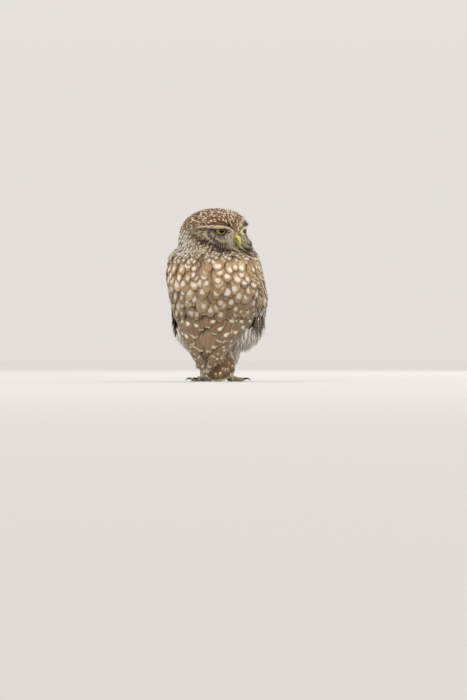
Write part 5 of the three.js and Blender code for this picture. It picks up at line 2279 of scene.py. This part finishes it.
@dataclass
class Bill:
    """A short hooked bill: a deep upper half with a ridge and nostrils, and a small lower half behind it."""

    base: float = 169.5
    root: float = 27.0
    half: float = 2.7
    deep: float = 3.4
    reach: float = 40.6
    tip: float = 154.8
    hook: float = 37.0
    nostril_side: float = 3.2
    nostril_forward: float = 37.0
    nostril_height: float = 166.8
    nostril: float = 0.9

    def stations(self, scale: float, drop: float, count: int, back: float = 0.0) -> tuple[Array, Array, Array]:
        """The centre line and half sizes: forward first, then down into the hook.

        Args:
            scale: of the half sizes.
            drop, back: how far down and back the half is set.
            count: how many stations.

        Returns:
            The line, half widths and half depths.
        """
        t = np.linspace(0, 1, count)
        swing = np.sin(np.pi / 2 * np.minimum(1, t * 1.15))
        forward = lerp(self.root, self.reach - self.deep * 0.55, swing)
        forward = forward + (self.hook - self.reach + 3) * t**4 - back
        z = lerp(self.base, self.tip, t**1.7) - drop
        size = (1 - t) ** 0.62 * 0.97 + 0.03
        line = FORM.in_head(np.zeros(count), forward, z)
        return line, self.half * size * scale, self.deep * size * scale

    def build(self, finish: Material) -> list[Piece]:
        """Both halves. The lower half tapers towards its end.

        Args:
            finish: the material.

        Returns:
            Both pieces.
        """
        made = []
        for name, scale, drop, back, keep in (("upper", 1.0, 0.0, 0.0, 36), ("lower", 0.74, 3.4, 2.2, 26)):
            line, wide, deep = self.stations(scale, drop, 36, back)
            line, wide, deep = line[:keep], wide[:keep], deep[:keep]
            if name == "lower":
                taper = 1 - 0.5 * np.linspace(0, 1, keep) ** 3
                wide, deep = wide * taper, deep * taper
            points, faces, share = tube(line, wide, deep, 40, FORM.head_right)
            points = self.nostrils(points)
            made.append(add_form(f"bill_{name}", "horn", points, faces, finish, "bill", Horn=share))
        return made

    def nostrils(self, points: Array) -> Array:
        """The points with a nostril pressed in on each side of the upper half.

        Args:
            points: of either half.

        Returns:
            The points.
        """
        for side in (1, -1):
            pit = FORM.in_head(side * self.nostril_side, self.nostril_forward, self.nostril_height)
            near = bump(np.linalg.norm(points - pit, axis=-1), 0.95)[:, None]
            points = points - self.nostril * near * side * FORM.head_right
        return points


@dataclass(frozen=True)
class Leg(Sided):
    """A feathered leg with scaled toes and hooked claws."""

    x: float = 17.0
    toe: float = 2.55
    pad: float = 4.9
    sunk: float = 1.6

    TOES = (("hind", 158.0, 11.0), ("inner", -16.0, 16.0), ("middle", 14.0, 19.0), ("outer", 82.0, 15.5))

    @property
    def foot(self) -> float:
        """The foot's x."""
        return -self.side * self.x

    def thigh_line(self) -> tuple[Array, Array]:
        """Stations of the thigh: points and radii.

        Returns:
            (stations, 3) and (stations,).
        """
        f = self.foot
        line = [[f * 0.9, -5, 58], [f * 0.93, -4, 52], [f * 0.97, -1, 39.5], [f, 2, 29.5], [f, 3, 27]]
        return np.array(line, float), np.array([10.8, 13.5, 10.5, 6.4, 5.0])

    def shank_line(self) -> tuple[Array, Array]:
        """Stations of the shank: points and radii.

        Returns:
            (stations, 3) and (stations,).
        """
        f = self.foot
        line = [[f, 3, 29], [f, 3, 25], [f, 2.1, 20.2], [f, 1.1, 12.4], [f, 0.5, 7.5], [f, 0.3, 4.5]]
        return np.array(line, float), np.array([3.9, 5.2, 4.2, 4.0, 4.5, 3.4])

    @staticmethod
    def smooth(line: Array, radii: Array, count: int) -> tuple[Array, Array]:
        """A finer line through the stations.

        Args:
            line, radii: the stations.
            count: points in the finer line.

        Returns:
            The finer line and its radii.
        """
        at = np.linspace(0, len(line) - 1, count)
        fine = lambda v: np.pad(np.interp(at, range(len(line)), v), 2, mode="edge")
        soft = lambda v: np.convolve(fine(v), np.ones(5) / 5, mode="valid")
        return np.stack([soft(line[:, k]) for k in range(3)], axis=-1), soft(radii)

    def limbs(self, skin: Material) -> list[Piece]:
        """The flesh of the thigh and the shank, inside their feathers.

        Args:
            skin: the material.

        Returns:
            Both pieces.
        """
        made = []
        for name, (line, radii) in (("thigh", self.thigh_line()), ("shank", self.shank_line())):
            fine, wide = self.smooth(line, radii, 26)
            inner = np.maximum(self.sunk, wide - self.sunk)
            points, faces, _ = tube(fine, inner, inner, 20, np.array([0, -1.0, 0]))
            made.append(add_form(f"{name}_{self.label}", "flesh", points, faces, skin, "down", PALETTE.white))
        return made

    def feathers(self, soft: Material) -> Piece:
        """Short soft feathers down the leg, smallest on the foot.

        Args:
            soft: the material.

        Returns:
            The object.
        """
        rng = np.random.default_rng(SEED + 80 + self.side)
        sets = []
        for (line, radii), count, length, half, shape in (
            (self.thigh_line(), 620, (9, 13), 2.2, FLUFF), (self.shank_line(), 620, (4, 6.5), 0.9, HAIRY)):
            fine, wide = self.smooth(line, radii, 40)
            at, turn = rng.random(count) * 38, rng.random(count) * 2 * np.pi
            k = at.astype(int)
            centre = fine[k] + (fine[k + 1] - fine[k]) * (at - k)[:, None]
            along = unit(fine[k + 1] - fine[k])
            out = np.stack([np.cos(turn), np.sin(turn), np.zeros(count)], axis=-1)
            out = unit(out - along * dot(out, along))
            root = centre + out * (wide[k] - 1.4)[:, None]
            lengths = rng.uniform(*length, count)
            way = unit(along + 0.22 * out + 0.08 * rng.normal(size=(count, 3)))
            rows = shape.rows
            step = (lengths / (rows - 1))[:, None]
            places = [root]
            for _ in range(rows - 1):
                places.append(places[-1] + way * step)
                way = unit(way - 0.1 * out)
            lines = np.stack(places, axis=1)
            off_floor(lines, 1.2)
            marks = Markings.plain(count, PALETTE.white, PALETTE.streak, (0.0, 0.03, 0.2), rng)
            bake = np.column_stack([0.05 + 0.9 * turn / 6.29, 0.05 + 0.9 * at / 40])
            sets.append(Vanes(lines, np.repeat(out[:, None], rows, axis=1), half * rng.uniform(0.8, 1.2, count),
                              shape, marks, bake, rng).mesh())
        mesh = Mesh.join(sets)
        off_floor(mesh.points, FEATHER_GAP)
        return add_feathers(f"leg_{self.label}_feathers", mesh, soft)

    def toe_line(self, turn: float, distance: Array) -> tuple[Array, Array]:
        """x and y along a toe that points turn degrees out from straight ahead."""
        angle = np.radians(turn)
        return -self.side * (self.x + np.sin(angle) * distance), -np.cos(angle) * distance

    def toes(self, skin: Material, horn: Material) -> list[Piece]:
        """Toes with rounded joints and rings of scales, and their curved claws.

        Args:
            skin, horn: the materials of toes and claws.

        Returns:
            The pieces.
        """
        made, sets = [], []
        start = 0
        for name, turn, length in self.TOES:
            t = np.linspace(0, 1, 60)
            x, y = self.toe_line(turn, lerp(-1, length, t))
            knuckle = 1 + 0.1 * np.cos(t * 5 * np.pi) + 0.035 * np.abs(np.sin(t * length * 2.2))
            end = np.where(t > 0.93, np.sqrt(np.clip(1 - ((t - 0.93) / 0.09) ** 2, 0.05, 1)), 1.0)
            radius = self.toe * lerp(1.1, 0.78, t) * knuckle * end
            line = np.stack([x, y, 1.95 + 1.2 * (1 - t) ** 2 + 0.05 + np.maximum(0, radius - 1.95)], axis=-1)
            points, faces, _ = tube(line, radius, radius, 24, np.array([0, 0, 1.0]))
            off_floor(points, TOE_GAP)
            sets.append((points, faces + start))
            start += len(points)
            made.append(self.claw(name, turn, length, horn))
        pad_t = np.linspace(0.02, 0.98, 20) * np.pi
        pad = np.stack([np.full(20, self.foot), np.zeros(20), 3.6 + 3.3 * np.cos(pad_t)], axis=-1)
        wide = self.pad * np.sin(pad_t)
        points, faces, _ = tube(pad, wide, wide, 28, np.array([0, -1.0, 0]))
        off_floor(points, TOE_GAP)
        sets.append((points, faces + start))
        points, faces = (np.concatenate(part) for part in zip(*sets))
        return [add_form(f"foot_{self.label}", "toes", points, faces, skin, "feet"), *made]

    def claw(self, name: str, turn: float, length: float, finish: Material) -> Piece:
        """A claw: a cone bent down to a fine point, deeper than it is wide.

        Args:
            name: the toe's name.
            turn: degrees out from straight ahead.
            length: the toe's length.
            finish: the material.

        Returns:
            The object.
        """
        t = np.linspace(0, 1, 24)
        x, y = self.toe_line(turn, length - 0.9 + 9.0 * np.sin(t * 1.35))
        z = 2.65 + 1.4 * np.sin(t * np.pi * 0.9) - 2.3 * t * t
        radius = 1.4 * (1 - t) ** 0.7 + 0.05
        line = np.stack([x, y, z], axis=-1)
        points, faces, share = tube(line, radius * 0.85, radius, 20, np.array([0, 0, 1.0]))
        return add_form(f"claw_{self.label}_{name}", "horn", points, faces, finish, "claws", Horn=share)


@dataclass
class Studio:
    """A pale floor, soft light, and the camera at the picture's angle."""

    azimuth: float = 200.0
    distance: float = 6.0
    frame_height: float = 0.812
    aim_right: float = 0.0191
    aim_height: float = 0.0365
    sensor: float = 36.0
    zenith: float = 2.4
    floor_radius: float = 12.0

    SKY = (0.77, 0.735, 0.70, 1.0)
    LAMPS = (
        ("key", -0.7, 2.6, 1.9, 1.8, 14.5),
        ("fill", 1.0, 1.2, 3.0, 2.4, 9.0),
        ("rim", 2.7, 1.8, 2.4, 1.8, 20.0),
    )

    def camera(self) -> None:
        """The camera: level, and aimed so that the bird stands where it does in the picture."""
        data = bpy.data.cameras.new("camera")
        data.sensor_fit = "VERTICAL"
        data.sensor_height = self.sensor
        data.lens = self.sensor * self.distance / self.frame_height
        camera = bpy.data.objects.new("camera", data)
        turn = np.radians(self.azimuth)
        away = np.array([np.sin(turn), -np.cos(turn), 0.0])
        right = np.array([np.cos(turn), np.sin(turn), 0.0])
        aim = right * self.aim_right + np.array([0, 0, self.aim_height])
        camera.location = aim + away * self.distance
        camera.rotation_euler = (np.pi / 2, 0.0, turn)
        bpy.context.scene.collection.objects.link(camera)
        bpy.context.scene.camera = camera

    def lights(self) -> None:
        """A large soft key, a fill and a rim light, under a pale sky that is brighter overhead."""
        turn = np.radians(self.azimuth)
        for name, swing, height, reach, size, power in self.LAMPS:
            data = bpy.data.lights.new(name, "AREA")
            data.size, data.energy = size, power
            lamp = bpy.data.objects.new(name, data)
            place = np.array([np.sin(turn + swing) * reach, -np.cos(turn + swing) * reach, height])
            lamp.location = place
            aim = place - np.array([0, 0, 0.12])
            tip = np.arctan2(np.hypot(aim[0], aim[1]), aim[2])
            lamp.rotation_euler = (tip, 0.0, np.arctan2(aim[0], -aim[1]))
            bpy.context.scene.collection.objects.link(lamp)
        world = bpy.data.worlds.new("world")
        bpy.context.scene.world = world
        world.use_nodes = True
        tree = world.node_tree
        way = tree.nodes.new("ShaderNodeTexCoord")
        parts = tree.nodes.new("ShaderNodeSeparateXYZ")
        glow = tree.nodes.new("ShaderNodeMapRange")
        tree.links.new(way.outputs["Generated"], parts.inputs[0])
        tree.links.new(parts.outputs["Z"], glow.inputs["Value"])
        for socket, value in (("From Min", 0.05), ("From Max", 1.0), ("To Min", 1.0), ("To Max", self.zenith)):
            glow.inputs[socket].default_value = value
        tree.nodes["Background"].inputs["Color"].default_value = self.SKY
        tree.links.new(glow.outputs[0], tree.nodes["Background"].inputs["Strength"])

    def floor(self, finish: Material) -> None:
        """A round flat floor.

        Args:
            finish: the material.
        """
        turn = np.linspace(0, 2 * np.pi, 96, endpoint=False)
        radius, turn = np.meshgrid(np.linspace(0, self.floor_radius, 24), turn, indexing="ij")
        points = np.stack([radius * np.cos(turn), radius * np.sin(turn), 0 * turn], axis=-1).reshape(-1, 3)
        mesh = bpy.data.meshes.new("floor")
        mesh.from_pydata(points.tolist(), [], grid_faces(24, 96, True).tolist())
        mesh.materials.append(finish)
        floor = bpy.data.objects.new("floor", mesh)
        bpy.context.scene.collection.objects.link(floor)
        merge_poles(floor)
        floor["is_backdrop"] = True

    def build(self) -> None:
        """Camera first, then light and floor."""
        self.camera()
        self.lights()
        self.floor(Backdrop().make())


def main() -> None:
    """Loads the frame, builds every part of the bird on it, and works out its bounds."""
    logging.basicConfig(level=logging.INFO, format="%(message)s")
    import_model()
    solid_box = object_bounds()
    Studio().build()
    soft, skin_tone = SoftFeather().make(), SkinTone().make()
    flight = FlightFeather("wing_feather").make()
    tail = FlightFeather("tail_feather", both_webs=True, barbs=70.0, edge=0.25).make()
    skin = Skin().build(skin_tone)
    points = np.empty(len(skin.data.vertices) * 3, np.float32)
    skin.data.vertices.foreach_get("co", points)
    add_colours(skin, "ground", PATTERN.skin(points.reshape(-1, 3).astype(float) / MM))
    Coat().build(soft)
    for side in Side:
        Wing(side.value).build(flight, soft, skin_tone)
    Tail().build(tail, soft, skin_tone)
    gloss, lid_skin = EyeGloss().make(), LidSkin().make()
    for place in EYES:
        eye = Eye(place)
        eye.ball(gloss)
        eye.lids(lid_skin)
    Bill().build(Horn("bill_horn", paint(188, 180, 76), paint(222, 216, 140), paint(150, 142, 74)).make())
    claw_horn = Horn("claw_horn", paint(44, 38, 34), paint(62, 54, 48), paint(18, 16, 15), 0.25).make()
    toe_skin = ToeSkin().make()
    for side in Side:
        leg = Leg(side.value)
        leg.limbs(skin_tone)
        leg.feathers(soft)
        leg.toes(toe_skin, claw_horn)
    bpy.context.scene.view_settings.view_transform = "Standard"
    plain = lambda box: [list(map(float, corner)) for corner in box]
    {"solids": plain(solid_box), "dressed": plain(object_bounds())}


if __name__ == "__main__":
    main()
